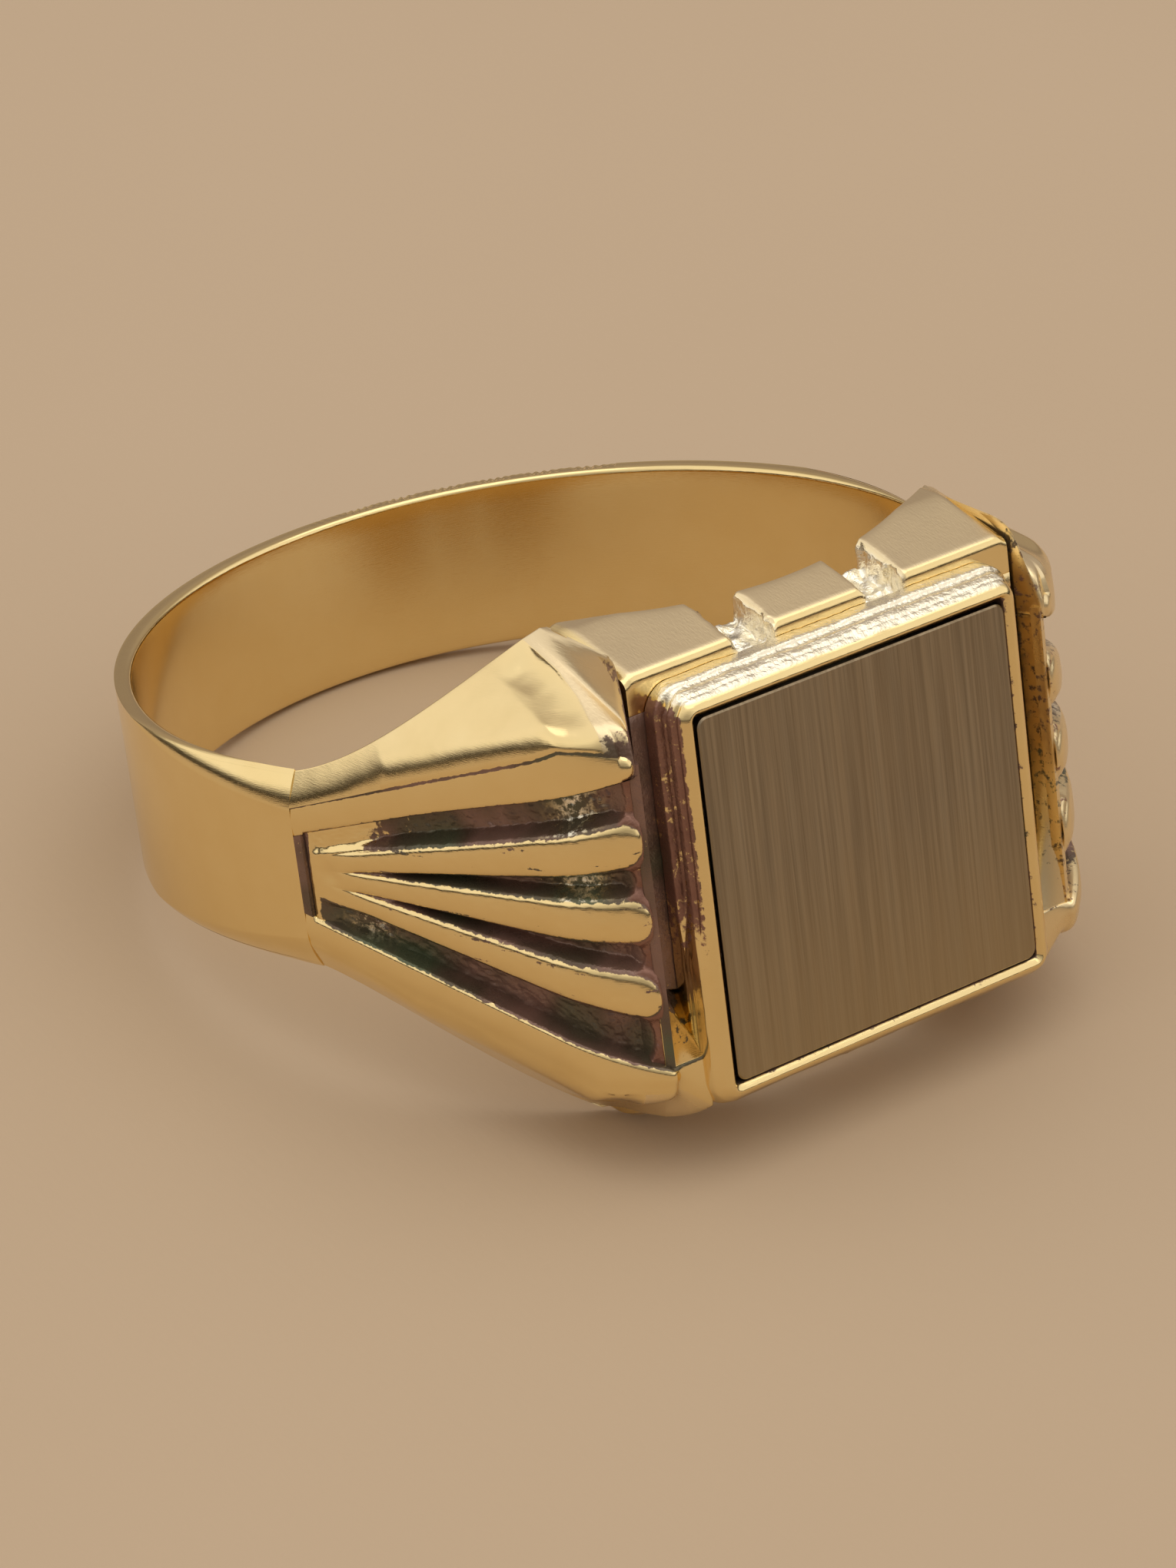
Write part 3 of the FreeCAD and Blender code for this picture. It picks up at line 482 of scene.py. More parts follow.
# ---------------------------------------------------------------- rib fans
def make_rib_fan(name):
    """The left fan: three rounded ribs that spread from a root, with rough flutes beside them."""
    reach = joined_spans((RECESS_START + 0.01, 0.7, 26), (0.7, 8.0, 130), (8.0, TIP_REACH + 0.1, 90),
                         (TIP_REACH + 0.1, TIP_REACH + 0.40, 10))
    reach_grid, share_grid = np.meshgrid(reach, np.linspace(-1, 1, 221), indexing="ij")
    half = recess_half(reach_grid) + 0.02
    heights = share_grid * half
    point, inward = outline_at(reach)
    along = np.minimum(reach_grid, TIP_REACH)
    floor_depth = recess_depth(reach_grid)

    # nearest is the distance to the nearest rib's middle line, in half-widths of the rib
    pitch = PITCH_START + PITCH_GROWTH * along
    rib_half = np.minimum(RIB_HALF_START + RIB_HALF_GROWTH * along, RIB_HALF_MOST)
    rib_half = rib_half * (1 + 0.03 * value_noise(np.stack([along, heights, heights], -1), 1.1, 5))
    ribs = np.stack([bulb(reach_grid, heights - k * pitch, rib_half, TIP_REACH - 0.10) for k in (-1, 0, 1)])
    nearest = ribs.min(axis=0)
    root = OUTER - np.interp(reach_grid, ROOT_STATIONS, ROOT_RADII)

    # each flute lies between two ribs, or between an outer rib and the recess's side
    inner_gap = pitch - 2 * rib_half
    outer_gap = recess_half(reach_grid) - pitch - rib_half
    is_outer = np.abs(heights) > pitch
    upper_outer = is_outer & (heights > 0)
    gap = np.where(is_outer, outer_gap, inner_gap)
    late = 0.45 * smoothstep(reach_grid, 0.3, 0.6) + 0.55 * smoothstep(reach_grid, 1.5, 2.6)
    opening = np.where(is_outer, smoothstep(reach_grid, 0.32, 0.95), smoothstep(gap, 0.03, 0.20))
    opening = np.where(upper_outer, late, opening)
    wall = smoothstep((nearest - 1) * rib_half, 0, np.clip(0.34 * gap, 0.05, 0.26))
    middle = np.where(is_outer, 0.5 * (recess_half(reach_grid) + pitch + rib_half), 0.5 * pitch)
    offset = np.clip(np.abs(np.abs(heights) - middle) / np.maximum(0.5 * gap, 0.02), 0, 1)

    # a low lip closes each flute at the ribs' ends
    lip_at = LIP_AT + LIP_CURVE * (1 - offset ** 2)
    closed = smoothstep(reach_grid, lip_at, lip_at + 0.20)
    most = np.minimum(FLUTE_START + FLUTE_GROWTH * reach_grid, FLUTE_MOST)
    most = np.minimum(most, np.maximum(floor_depth - root - 0.07, 0.02))
    flute = (most * (1 - closed) + LIP_LEVEL * closed) * opening * wall
    crest = bulb_drop(np.minimum(nearest, 1.0)) * smoothstep(reach_grid, 0.6, 2.0)
    off_ribs = np.where(nearest >= 1, 1.0, 0.0)
    depth = root + crest + off_ribs * flute

    # rough flutes, nearly smooth ribs and a dimple at the root
    place = np.stack([reach_grid, heights, depth], -1)
    grain, fine = value_noise(place, 0.16, 7), value_noise(place, 0.07, 8)
    in_flute = off_ribs * wall * opening
    depth = depth + in_flute * (0.030 * grain + 0.016 * fine) + (1 - in_flute) * 0.004 * grain
    dimple = np.exp(-((reach_grid - 0.85) ** 2 + (heights - 0.10) ** 2) / 0.05)
    depth = depth + 0.05 * dimple
    depth = np.minimum(depth, np.maximum(floor_depth - 0.03, 0.01))
    depth = np.where(reach_grid > TIP_REACH + 0.12, np.minimum(depth, 0.04), depth)

    s = point[:, 0][:, None] + inward[:, 0][:, None] * depth
    n = point[:, 1][:, None] + inward[:, 1][:, None] * depth
    top = shoulder_to_ring(s, n, heights)
    under_depth = np.maximum(recess_depth(reach) - 0.012, 0.02)
    under_s, under_n = (point + inward * under_depth[:, None]).T
    under = np.stack([shoulder_to_ring(under_s, under_n, share * half[:, 0]) for share in UNDER_SHARES],
                     axis=1)
    loops = np.concatenate([top, under], axis=1)

    # patina in the flutes and in faint streaks on the ribs, less of it at the root, and a painted shadow line
    # where the ribs start below the step
    worn = smoothstep(nearest, 0.80, 1.06)
    streak = value_noise(np.stack([0.45 * reach_grid, heights / 0.07, depth], -1), 1.0, 9)
    streak = smoothstep(streak, 0.35, 0.75) * smoothstep(nearest, 0.25, 0.6)
    inner_start, outer_start = smoothstep(reach_grid, 0.5, 1.3), smoothstep(reach_grid, 0.30, 0.6)
    oxide = worn * np.where(is_outer, outer_start, inner_start)
    upper_start = reach_grid - 0.4 * (heights - pitch)
    oxide = np.where(upper_outer, worn * smoothstep(upper_start, 1.2, 2.3), oxide)
    oxide = np.maximum(oxide, 0.55 * streak * smoothstep(reach_grid, 1.0, 3.0))
    at_end = smoothstep(reach_grid, TIP_REACH + 0.02, TIP_REACH + 0.12)
    oxide = np.maximum(oxide, at_end * (0.45 + 0.55 * smoothstep(heights, -3.2, -1.4)))
    # painted shadow: a narrow dark strip where the ribs start, at the step down from the band
    slant = reach_grid - 0.08 * heights
    oxide = np.maximum(oxide, 1 - smoothstep(slant, RECESS_START, RECESS_START + 0.06))
    # painted glints: spots near the ribs' wide ends and low on the outer flute, where pale grains of gold break
    # through the patina
    glint_spots = np.exp(-((reach_grid - 7.7) / 0.55) ** 2) * (heights > -0.3)
    glint_spots = glint_spots + 0.8 * np.exp(-((reach_grid - 1.6) / 0.5) ** 2) * is_outer * (heights < 0)
    lip = closed * off_ribs * (1 - smoothstep(reach_grid, TIP_REACH, TIP_REACH + 0.1))

    def with_under(values, level):
        return np.concatenate([values, np.full((len(reach), len(UNDER_SHARES)), level)], axis=1)

    # the glint spots are also marked rough, which turns their grains pale, as painted glints
    glint_grains = with_under(off_ribs * glint_spots, 0.0)
    return tube(name, loops, {"oxide": with_under(oxide, 1.0), "red": with_under(lip, 0.0), "glint_grains": glint_grains,
                              "rough": glint_grains, "satin": np.zeros(loops.shape[:2])})


# ---------------------------------------------------------------- head
def make_rail(name, side, front_top):
    """One rail of three blocks. side is 1 for the upper one and -1 for the lower one. front_top is the height
    of its front edge."""
    walls = [hand * (BLOCK_HALF + extra) for hand in (-1, 1) for extra in (0, NOTCH_WIDTH)]
    fine = [np.linspace(wall - 0.14, wall + 0.14, 15) for wall in walls]
    x = np.unique(np.round(np.concatenate([np.linspace(-HEAD_HALF, HEAD_HALF, 150)] + fine), 4))
    from_middle = np.abs(np.abs(x) - (BLOCK_HALF + 0.5 * NOTCH_WIDTH))
    from_wall = from_middle - 0.5 * NOTCH_WIDTH
    gap = 1 - smoothstep(from_middle, 0.5 * NOTCH_WIDTH - NOTCH_LEAN, 0.5 * NOTCH_WIDTH + NOTCH_LEAN)
    back = -np.sqrt(BORE ** 2 - x ** 2)
    front = 0 * x - BASE_FRONT

    def top_at(y):
        ahead = np.maximum(-y - RAIL_BREAK, 0)
        return HEAD_TOP - (HEAD_TOP - front_top) * ahead / (BASE_FRONT - RAIL_BREAK)

    block_edge = np.minimum(HEAD_HALF - np.abs(x), np.maximum(from_wall, 0) * 1.6 + gap)
    softened = 0.12 * (1 - smoothstep(block_edge, 0, 0.30)) ** 2 * (1 - gap)
    sink = gap * NOTCH_DEPTH + softened
    bend = np.minimum(-RAIL_BREAK, back - 0.25)
    low = 0 * x + BASE_HALF
    corners = np.stack([np.stack([x, y, z], -1) for y, z in
                        ((back, low), (back, top_at(back) - sink),
                         (bend, top_at(bend) - sink + 0.03 * (1 - gap)),
                         (front, top_at(front) - sink), (front, low))], axis=1)
    setbacks = [0.02, 0.10, 0.5, 0.20, 0.02]
    limits = [0.05, 0.35, 0.4, 0.40, 0.05]
    loops = rounded_loops(corners, setbacks, 7, [4, 12, 20, 8, 3], limits)

    # notches and their walls are rough, and the block tops are nearly flat
    y, z = loops[..., 1], loops[..., 2]
    in_notch = gap[:, None] * smoothstep(z, BASE_HALF + 0.1, BASE_HALF + 0.3)
    on_wall = np.exp(-(from_wall / 0.09) ** 2)[:, None]
    on_wall = on_wall * smoothstep(z, BASE_HALF + 0.2, BASE_HALF + 0.5) * smoothstep(-y, 0, 1)
    rough = np.clip(in_notch + 0.6 * on_wall, 0, 1)
    place = loops.copy()
    loops[..., 2] += rough * (0.095 * value_noise(place, 0.24, 21) + 0.055 * value_noise(place, 0.11, 22))
    loops[..., 0] += rough * 0.085 * value_noise(place, 0.17, 23)
    loops[..., 1] += rough * 0.05 * value_noise(place, 0.2, 24) * smoothstep(-y, 10.6, 11.0)
    loops[..., 2] += (1 - rough) * smoothstep(z, 5, 5.4) * 0.012 * value_noise(place, 1.6, 25)
    loops[..., 2] = np.minimum(loops[..., 2], HEAD_TOP - SKIN)
    flat_top = (1 - rough) * smoothstep(z - (top_at(y) - sink[:, None]), -0.05, -0.01)
    flat_top = flat_top * smoothstep(block_edge, 0.10, 0.2)[:, None] * smoothstep(-y, 8.3, 8.4)
    flat_top = flat_top * smoothstep(11.32 + y, 0, 0.05)
    loops[..., 2] *= side
    return tube(name, loops, {"oxide": np.zeros(rough.shape), "satin": flat_top, "rough": rough})


def make_head_base(name):
    """Floor of the head: a plain block with the finger hole's wall as its back."""
    x = np.linspace(-HEAD_HALF, HEAD_HALF, 90)
    back = -np.sqrt(BORE ** 2 - x ** 2)
    outline = ((back, -BASE_HALF), (back, BASE_HALF), (-BASE_FRONT, BASE_HALF), (-BASE_FRONT, -BASE_HALF))
    corners = np.stack([np.stack([x, y + 0 * x, z + 0 * x], -1) for y, z in outline], axis=1)
    loops = rounded_loops(corners, 0.01, 1, [30, 2, 30, 2])
    on_end = smoothstep(np.abs(loops[..., 0]), 5.2, 5.3) * smoothstep(-loops[..., 1], 8.7, 8.9)
    on_front = smoothstep(-loops[..., 1], 11.2, 11.3)
    dark = np.maximum(on_end, on_front) * smoothstep(loops[..., 2], -4.0, -2.4)
    right_hand = loops[..., 0] > 0
    dark = dark * np.where(right_hand, WORN_SIDE, 1)
    return tube(name, loops, {"oxide": dark, "satin": dark * right_hand})


# corners of the moulding's section: how far out it lies from the rim's line where it is grooved, how far out
# where it is plain, and y. They run from the plate's side over the rim and down the outer wall to the foot.
MOULDING = ((-0.33, -0.33, -11.44), (-0.33, -0.33, -12.37), (-0.20, -0.20, -12.50), (-0.14, -0.14, -12.50),
            (-0.03, -0.03, -12.43), (0.06, 0.07, -12.30), (0.02, 0.13, -12.22), (0.12, 0.16, -12.17),
            (0.165, 0.21, -12.03), (0.11, 0.23, -11.97), (0.04, 0.25, -11.93), (0.09, 0.27, -11.85),
            (0.29, 0.29, -11.81), (0.32, 0.31, -11.74), (0.32, 0.32, -11.42), (0.0, 0.0, -11.41))
MOULDING_SETBACKS = (0.02, 0.03, 0.03, 0.06, 0.06, 0.04, 0.03, 0.04,
                     0.04, 0.04, 0.03, 0.04, 0.04, 0.04, 0.02, 0.02)
MOULDING_STEPS = (3, 1, 3, 1, 1, 1, 1, 1, 1, 1, 1, 1, 1, 2, 2, 2)
GROOVES = ((-12.23, 0.03), (-11.93, 0.04))


def rounded_rectangle(offset, per_side=46, per_corner=10):
    """Points round a rectangle that lies offset outside the moulding's own, starting at +X."""
    radius = FRAME_CORNER + offset
    middle_x, middle_z = FRAME_RIM - FRAME_CORNER, FRAME_RIM + FRAME_EXTRA - FRAME_CORNER
    arcs = []
    for quarter, (sign_x, sign_z) in enumerate(((1, 1), (-1, 1), (-1, -1), (1, -1))):
        turn = np.radians(90.0 * quarter + np.linspace(0, 90, per_corner))
        middle = np.array([sign_x * middle_x, sign_z * middle_z])
        arcs.append(middle + radius * np.stack([np.cos(turn), np.sin(turn)], axis=1))
    shares = np.linspace(0, 1, per_side + 1)[1:-1, None]
    rows = []
    for arc, following in zip(arcs, arcs[1:] + arcs[:1]):
        rows += [arc, arc[-1] + (following[0] - arc[-1]) * shares]
    return np.concatenate(rows)


def make_frame(name):
    """The moulding round the plate: bevel, rim, waist, groove and foot, swept round a rounded rectangle. Its
    wall is grooved at the sides, and plain low down and nearly so along the top."""
    rings = []
    for grooved_offset, plain_offset, y in MOULDING:
        grooved, plain = rounded_rectangle(grooved_offset), rounded_rectangle(plain_offset)
        low = smoothstep(-grooved[:, 1:], -0.6, 1.4)
        top_side = smoothstep(grooved[:, 1:] - np.abs(grooved[:, :1]), 0.0, 0.5)
        points = grooved + (plain - grooved) * np.maximum(low, FRAME_TOP_PLAIN * top_side)
        rings.append(np.stack([points[:, 0], np.full(len(points), y), points[:, 1]], -1))
    loops = rounded_loops(np.stack(rings, axis=1), MOULDING_SETBACKS, 4, MOULDING_STEPS)

    # the outer wall is slightly uneven, more so along the top
    x, y, z = loops[..., 0], loops[..., 1], loops[..., 2]
    past_rim = np.maximum(np.abs(x) - FRAME_RIM, np.abs(z) - FRAME_RIM - FRAME_EXTRA)
    outer = smoothstep(past_rim, -0.02, 0.02) * smoothstep(y, -12.45, -12.36)
    wave = value_noise(loops, 0.5, 31) + 0.5 * value_noise(loops, 0.19, 32)
    ends = smoothstep(np.abs(z) - np.abs(x) - FRAME_EXTRA, -0.05, 0.1)
    outwards = unit(np.stack([x, 0 * y, z], -1))
    uneven = loops + outwards * (0.012 * outer * wave * (1 + ends))[..., None]

    # patina on the side walls, strongest in the two grooves, and painted shade on the wall round the plate, in
    # the gap beside it
    sides = smoothstep(np.abs(x) - np.abs(z) + FRAME_EXTRA, 0.0, 0.12)
    on_sides = outer * sides * smoothstep(z, -2.6, 0.8) * np.where(x > 0, WORN_SIDE, 0.8)
    in_groove = sum(np.exp(-((y - groove_y) / width) ** 2) for groove_y, width in GROOVES)
    in_groove = outer * sides * in_groove * smoothstep(z, -1.6, 0.4)
    oxide = np.clip(np.maximum(on_sides, in_groove), 0, 1)
    # painted shade: the wall round the plate is darkened as if the gap beside the plate lay in shadow
    oxide = np.maximum(oxide, smoothstep(-0.30 - past_rim, 0, 0.02) * smoothstep(y, -12.42, -12.38))
    # painted highlight: the top outer wall is marked rough, so it is coarse and also turns pale, nearly white
    rough = outer * ends * (z > 0) * 0.85
    return tube(name, uneven, {"oxide": oxide, "red": outer * sides, "satin": np.zeros(oxide.shape),
                               "rough": rough}, ring=True)


# ---------------------------------------------------------------- pieces
left_start = 1.5 * math.pi - START_ANGLE
right_start = START_ANGLE - 0.5 * math.pi
shank_left = make_hoop("hoop_left", SEAM_ANGLE, left_start, SEAM_ANGLE, RIDGES_END)
shank_right = make_hoop("hoop_right", right_start, SEAM_ANGLE)
shoulder_left = make_shoulder("fluted_shoulder_left")
shoulder_right = mirrored("fluted_shoulder_right", shoulder_left, WORN_SIDE)
fan_left = make_rib_fan("ribs_left")
fan_right = mirrored("ribs_right", fan_left, WORN_SIDE)
rail_upper = make_rail("rail_blocks_upper", 1, RAIL_FRONT_TOP)
rail_lower = make_rail("rail_blocks_lower", -1, RAIL_FRONT_LOW)
head_floor = make_head_base("head_floor")
bezel = make_frame("bezel_moulding")
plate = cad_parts["table_plate"]

# each piece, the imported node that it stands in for, and its material slot
STAND_INS = ((shank_left, "shank_left", "polished_gold"),
             (shank_right, "shank_right", "polished_gold"),
             (shoulder_left, "shoulder_left", "polished_gold"),
             (shoulder_right, "shoulder_right", "polished_gold"),
             (fan_left, "rib_fan_left", "oxidised_gold"),
             (fan_right, "rib_fan_right", "oxidised_gold"),
             (rail_upper, "gallery_rail_upper", "satin_gold"),
             (rail_lower, "gallery_rail_lower", "satin_gold"),
             (head_floor, "head_base", "oxidised_gold"),
             (bezel, "bezel_frame", "polished_gold"))
for piece, node, slot in STAND_INS:
    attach(piece, "root")
    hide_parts(node)


# ---------------------------------------------------------------- materials
class Shader:
    """A small helper that adds nodes to one material or world."""

    def __init__(self, owner):
        owner.use_nodes = True
        self.tree = owner.node_tree
        self.tree.nodes.clear()

    def add(self, kind, inputs=None, **settings):
        node = self.tree.nodes.new("ShaderNode" + kind)
        for key, value in settings.items():
            setattr(node, key, value)
        for key, value in (inputs or {}).items():
            if isinstance(value, bpy.types.NodeSocket):
                self.tree.links.new(value, node.inputs[key])
            else:
                node.inputs[key].default_value = value
        return node

    def maths(self, operation, first, second=0.0, clamp=False):
        return self.add("Math", {0: first, 1: second}, operation=operation, use_clamp=clamp).outputs[0]

    def mix(self, share, first, second):
        node = self.add("Mix", {0: share, 6: first, 7: second}, data_type="RGBA")
        return node.outputs[2]

    def ramp(self, share, stops):
        node = self.add("ValToRGB", {0: share})
        elements = node.color_ramp.elements
        while len(elements) < len(stops):
            elements.new(0.5)
        for element, (place, colour) in zip(elements, stops):
            element.position = place
            element.color = colour if len(colour) == 4 else (*colour, 1)
        return node.outputs[0]

    def noise(self, vector, scale, detail=3.0, roughness=0.5):
        return self.add("TexNoise", {"Vector": vector, "Scale": scale, "Detail": detail,
                                     "Roughness": roughness}).outputs[0]

    def stretched(self, vector, scale):
        return self.add("Mapping", {"Vector": vector, "Scale": scale}).outputs[0]

    def mark(self, name):
        """A value that the mesh carries at each of its points."""
        return self.add("Attribute", attribute_name=name).outputs["Fac"]

    def scaled(self, value, factor):
        return self.maths("MULTIPLY", value, factor)

    def plus(self, base, value, factor=1.0):
        """base plus factor times value."""
        return self.maths("ADD", base, self.scaled(value, factor))

    def bump(self, height, strength, distance, below=None):
        inputs = {"Strength": strength, "Distance": distance, "Height": height}
        if below is not None:
            inputs["Normal"] = below
        return self.add("Bump", inputs).outputs[0]

    def remap(self, value, low, high, to_low=0.0, to_high=1.0):
        return self.add("MapRange", {0: value, 1: low, 2: high, 3: to_low, 4: to_high}).outputs[0]


GOLD = (0.92, 0.735, 0.385, 1)
GOLD_DEEP = (0.86, 0.66, 0.31, 1)
GOLD_SATIN = (0.78, 0.66, 0.50, 1)
# pale, nearly white gold: rough cast metal in the notches, a painted highlight on the moulding's top wall and
# painted glints in the flutes
PALE_CAST_AND_HIGHLIGHT = (1.0, 0.96, 0.84, 1)
PATINA_TINTS = ((0.30, (0.110, 0.125, 0.070)), (0.46, (0.135, 0.090, 0.060)),
                (0.58, (0.260, 0.150, 0.115)), (0.72, (0.180, 0.115, 0.080)))
PATINA_REDS = ((0.36, 0.19, 0.13, 1), (0.17, 0.065, 0.045, 1))


def metal_material(name):
    """Gold with fine wear, brushed where the mesh is marked satin, pale and coarse where it is marked rough (on
    the moulding's top wall that near-white colour is a painted highlight), and covered with a dark patina where
    it is marked oxide (round the plate and where the ribs start it is painted shade). Pale grains of gold show
    through as painted glints where the mesh marks them."""
    material = bpy.data.materials.new(name)
    shader = Shader(material)
    place = shader.add("TexCoord").outputs["Object"]
    oxide, satin, red = shader.mark("oxide"), shader.mark("satin"), shader.mark("red")
    rough, glint_grains = shader.mark("rough"), shader.mark("glint_grains")

    cloud = shader.noise(place, 900.0, 4.0, 0.6)
    speck = shader.noise(place, 5200.0, 3.0, 0.6)
    scratches = shader.noise(shader.stretched(place, (1.0, 1.0, 14.0)), 4200.0, 2.0, 0.5)
    brushing = shader.noise(shader.stretched(place, (1.0, 0.08, 1.0)), 21000.0, 3.0, 0.6)

    gold_colour = shader.mix(cloud, GOLD, GOLD_DEEP)
    gold_colour = shader.mix(shader.scaled(satin, 0.55), gold_colour, GOLD_SATIN)
    gold_colour = shader.mix(shader.scaled(rough, 0.85), gold_colour, PALE_CAST_AND_HIGHLIGHT)
    gold_rough = shader.plus(0.085, cloud, 0.09)
    gold_rough = shader.plus(gold_rough, satin, 0.24)
    gold_rough = shader.plus(gold_rough, rough, 0.16)
    plain_bump = shader.bump(scratches, 0.08, 0.00002)
    cast_bump = shader.bump(speck, shader.scaled(rough, 0.9), 0.00006, plain_bump)
    satin_bump = shader.bump(brushing, shader.scaled(satin, 0.28), 0.00002, cast_bump)
    gold = shader.add("BsdfPrincipled", {"Base Color": gold_colour, "Metallic": 1.0,
                                         "Roughness": gold_rough, "Normal": satin_bump}).outputs[0]

    tint = shader.noise(place, 420.0, 2.0, 0.5)
    dark_colour = shader.mix(red, shader.ramp(tint, PATINA_TINTS), shader.mix(cloud, *PATINA_REDS))
    dark_bump = shader.bump(speck, 0.55, 0.00005)
    dark_rough = shader.plus(0.20, cloud, 0.16)
    patina = shader.add("BsdfPrincipled", {"Base Color": dark_colour, "Metallic": 0.45,
                                           "Roughness": dark_rough, "Specular IOR Level": 0.6,
                                           "Normal": dark_bump}).outputs[0]

    # the patina has a ragged edge
    ragged = shader.plus(oxide, shader.maths("SUBTRACT", speck, 0.5), 1.9)
    ragged = shader.plus(ragged, shader.maths("SUBTRACT", cloud, 0.5), 0.5)
    cover = shader.maths("MULTIPLY", shader.remap(ragged, 0.42, 0.62), shader.remap(oxide, 0.0, 0.08))
    # painted glints: pale grains of gold break through the patina where the mesh marks them
    grains = shader.remap(shader.noise(place, 6000.0, 3.0, 0.6), 0.46, 0.60)
    cover = shader.maths("SUBTRACT", cover, shader.maths("MULTIPLY", glint_grains, grains), clamp=True)
    both = shader.add("MixShader", {0: cover, 1: gold, 2: patina}).outputs[0]
    shader.add("OutputMaterial", {"Surface": both})
    return material


PLATE_DARK, PLATE_LIGHT = (0.235, 0.187, 0.128, 1), (0.375, 0.303, 0.208, 1)
PLATE_CLOUD, PLATE_LOW = (0.32, 0.235, 0.14, 1), (0.44, 0.32, 0.165, 1)


def plate_material(name):
    """Fine brush lines along the finger's axis, in a pale bronze that is warmer towards the lower edge."""
    material = bpy.data.materials.new(name)
    shader = Shader(material)
    place = shader.add("TexCoord").outputs["Object"]
    lines = shader.noise(shader.stretched(place, (1.0, 1.0, 0.012)), 12000.0, 4.0, 0.65)
    wide_lines = shader.noise(shader.stretched(place, (1.0, 1.0, 0.02)), 3600.0, 3.0, 0.6)
    cloud = shader.noise(place, 260.0, 2.0, 0.5)
    bump = shader.bump(shader.plus(lines, wide_lines, 0.7), 0.55, 0.00001)
    along = shader.add("SeparateXYZ", {"Vector": place}).outputs["Z"]
    lower = shader.remap(along, 0.0005, -0.0045, 0.0, 0.55)
    colour = shader.mix(shader.remap(lines, 0.36, 0.64), PLATE_DARK, PLATE_LIGHT)
    colour = shader.mix(shader.scaled(cloud, 0.5), colour, PLATE_CLOUD)
    colour = shader.mix(lower, colour, PLATE_LOW)
    rough = shader.plus(0.26, wide_lines, 0.16)
    surface = shader.add("BsdfPrincipled", {"Base Color": colour, "Metallic": 1.0, "Roughness": rough,
                                            "Anisotropic": 0.75, "Anisotropic Rotation": 0.25,
                                            "Normal": bump}).outputs[0]
    shader.add("OutputMaterial", {"Surface": surface})
    return material


metal = metal_material("gold")
for piece, _, _ in STAND_INS:
    piece.data.materials.append(metal)
plate.data.materials.clear()
plate.data.materials.append(plate_material("brushed_plate"))


# ---------------------------------------------------------------- floor, light and camera
def resting_plane():
    """Point and normal of the flat surface that the ring rests on, on its lower rail and the hoop's back."""
    points = sorted({(round(v.co.y, 7), round(v.co.z, 7))
                     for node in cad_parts.values() for v in node.data.vertices})
    hull = []
    for p in points:
        while len(hull) > 1 and ((hull[-1][0] - hull[-2][0]) * (p[1] - hull[-2][1])
                                 - (hull[-1][1] - hull[-2][1]) * (p[0] - hull[-2][0])) <= 0:
            hull.pop()
        hull.append(p)
    for a, b in zip(hull, hull[1:]):
        if a[0] <= -0.003 <= b[0]:
            along = Vector((0, b[0] - a[0], b[1] - a[1])).normalized()
            return Vector((0, a[0], a[1])), Vector((1, 0, 0)).cross(along)
    raise SystemExit("the ring has no flat support")


rest_point, up = resting_plane()

CAMERA_PLACE = Vector((-67.7, -107.8, 52.0)) * MM
CAMERA_AIM = Vector((-0.79, -2.2, -1.23)) * MM
LENS, SENSOR_WIDTH = 130.8, 36


def linked(name, data):
    added = bpy.data.objects.new(name, data)
    bpy.context.scene.collection.objects.link(added)
    return added


camera = linked("camera", bpy.data.cameras.new("camera"))
camera.data.lens = LENS
camera.data.sensor_width = SENSOR_WIDTH
camera.data.clip_start = 0.001
camera.data.clip_end = 10
forward = (CAMERA_AIM - CAMERA_PLACE).normalized()
right = forward.cross(up).normalized()
camera.matrix_world = Matrix((right, right.cross(forward), -forward)).transposed().to_4x4()
camera.location = CAMERA_PLACE
bpy.context.scene.camera = camera

# a pale cloth that is see-through from underneath, so that the ring's underside can be looked at
FLOOR_HALF = 0.6
FLOOR_GAP = 0.00002
FLOOR_TONES = ((0.52, 0.385, 0.255, 1), (0.56, 0.42, 0.285, 1))
floor_x = Vector((1, 0, 0))
floor_y = up.cross(floor_x)
floor_mesh = bpy.data.meshes.new("floor")
floor_mesh.from_pydata([rest_point + (floor_x * i + floor_y * j) * FLOOR_HALF
                        for i, j in ((-1, -1), (1, -1), (1, 1), (-1, 1))], [], [(0, 1, 2, 3)])
floor = linked("floor", floor_mesh)
floor.location = -up * FLOOR_GAP

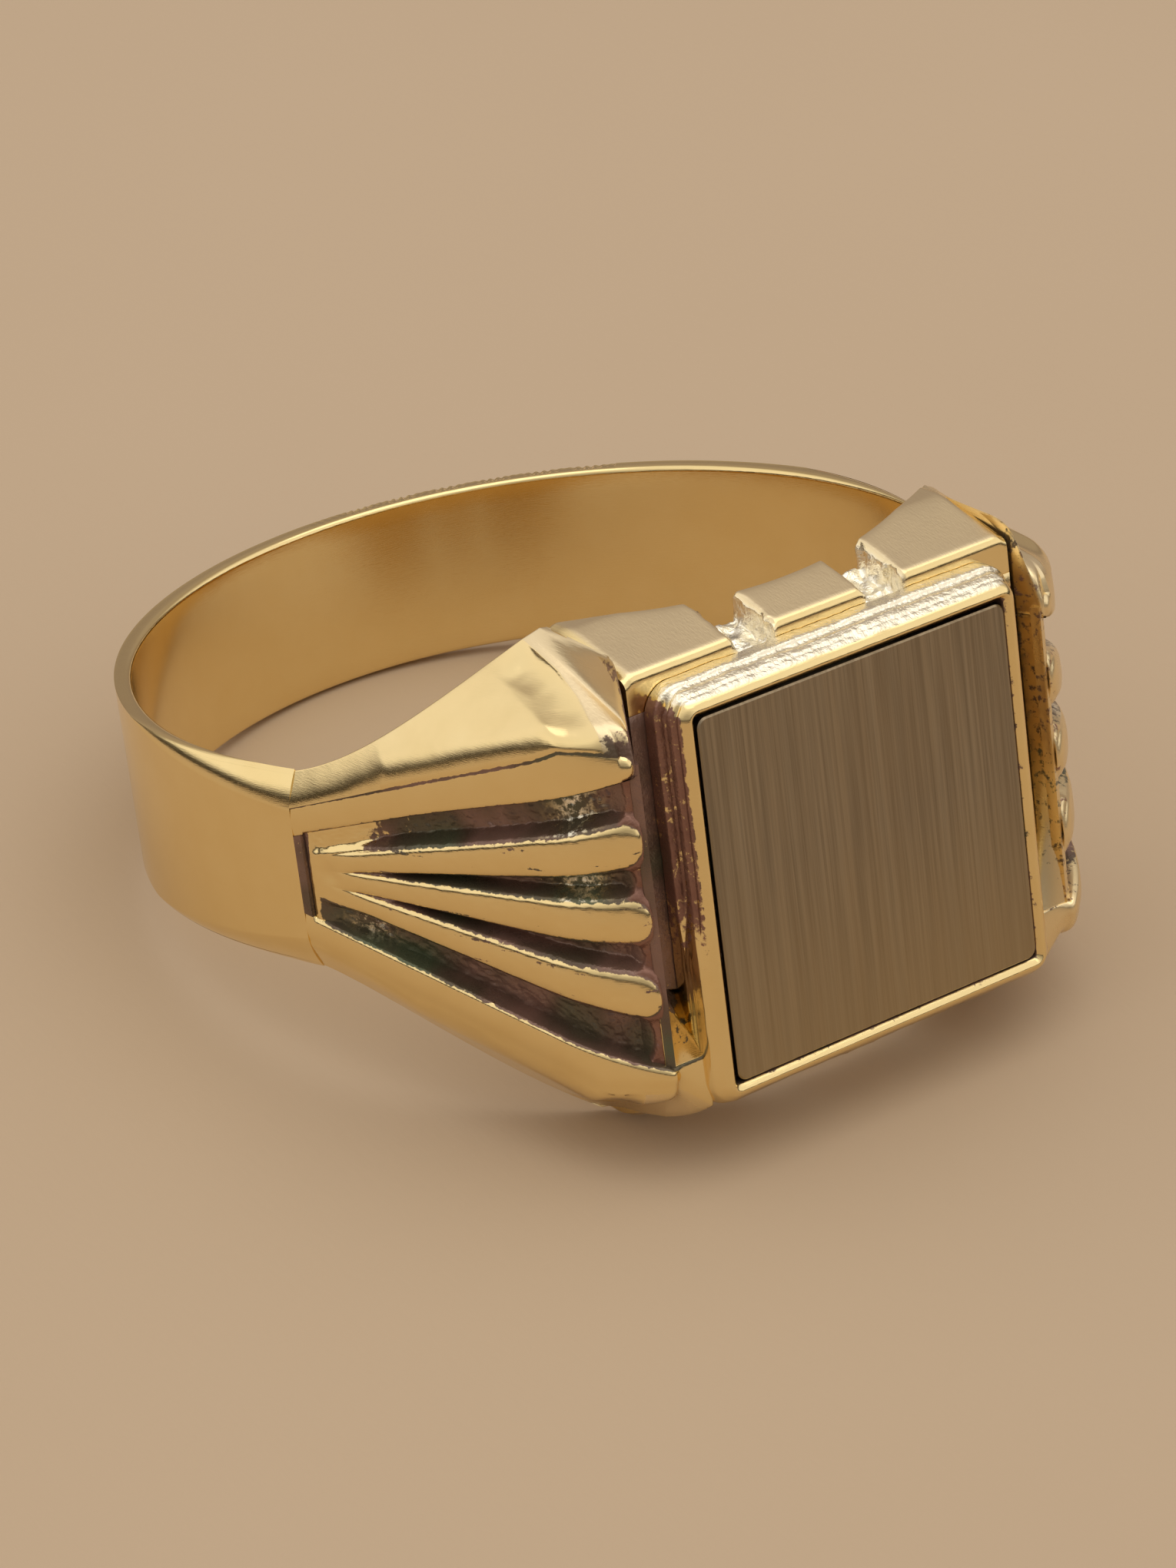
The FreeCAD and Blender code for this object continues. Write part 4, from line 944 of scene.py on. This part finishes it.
floor_material = bpy.data.materials.new("pale_floor")
shader = Shader(floor_material)
place = shader.add("TexCoord").outputs["Object"]
weave = shader.noise(shader.stretched(place, (1.0, 0.25, 1.0)), 3000.0, 2.0, 0.5)
tone = shader.mix(shader.noise(place, 30.0, 3.0, 0.5), *FLOOR_TONES)
cloth = shader.add("BsdfPrincipled", {"Base Color": tone, "Roughness": 0.55, "Specular IOR Level": 0.25,
                                      "Sheen Weight": 0.15,
                                      "Normal": shader.bump(weave, 0.22, 0.00005)}).outputs[0]
clear = shader.add("BsdfTransparent").outputs[0]
from_below = shader.add("NewGeometry").outputs["Backfacing"]
floor_surface = shader.add("MixShader", {0: from_below, 1: cloth, 2: clear}).outputs[0]
shader.add("OutputMaterial", {"Surface": floor_surface})
floor_mesh.materials.append(floor_material)

# one large soft light overhead
SOFTBOX_SIZE, SOFTBOX_ENERGY, SOFTBOX_COLOUR = 0.34, 0.19, (1.0, 0.97, 0.92)
ahead = (forward - up * forward.dot(up)).normalized()
softbox = linked("softbox", bpy.data.lights.new("softbox", "AREA"))
softbox.data.shape = "DISK"
softbox.data.size = SOFTBOX_SIZE
softbox.data.energy = SOFTBOX_ENERGY
softbox.data.color = SOFTBOX_COLOUR
softbox.location = up * 0.30 + right * 0.03 + ahead * 0.02
softbox.rotation_mode = "QUATERNION"
softbox.rotation_quaternion = (-softbox.location).to_track_quat("-Z", "Y")

# a pale studio, dark near the floor, dim beyond the ring and behind the camera
SKY = ((0.0, (0.05, 0.040, 0.032)), (0.14, (0.06, 0.050, 0.042)),
       (0.26, (1.04, 0.98, 0.90)), (1.0, (0.94, 0.90, 0.84)))
BEYOND, BEHIND_CAMERA, SEEN = (0.31, 0.25, 0.21, 1), (0.16, 0.135, 0.115, 1), (0.60, 0.52, 0.46, 1)
world = bpy.data.worlds.new("studio")
bpy.context.scene.world = world
shader = Shader(world)
toward = shader.add("TexCoord").outputs["Generated"]
height = shader.add("VectorMath", {0: toward, 1: up}, operation="DOT_PRODUCT").outputs["Value"]
depth = shader.add("VectorMath", {0: toward, 1: ahead}, operation="DOT_PRODUCT").outputs["Value"]
sky = shader.ramp(height, SKY)
sky = shader.mix(shader.remap(depth, 0.40, 0.80, 0.0, 0.9), sky, BEYOND)
sky = shader.mix(shader.remap(depth, -0.45, -0.90, 0.0, 0.7), sky, BEHIND_CAMERA)
sky = shader.mix(shader.add("LightPath").outputs["Is Camera Ray"], sky, SEEN)
shader.add("OutputWorld", {"Surface": shader.add("Background", {"Color": sky, "Strength": 1.0}).outputs[0]})

bpy.context.scene.view_settings.view_transform = "Standard"
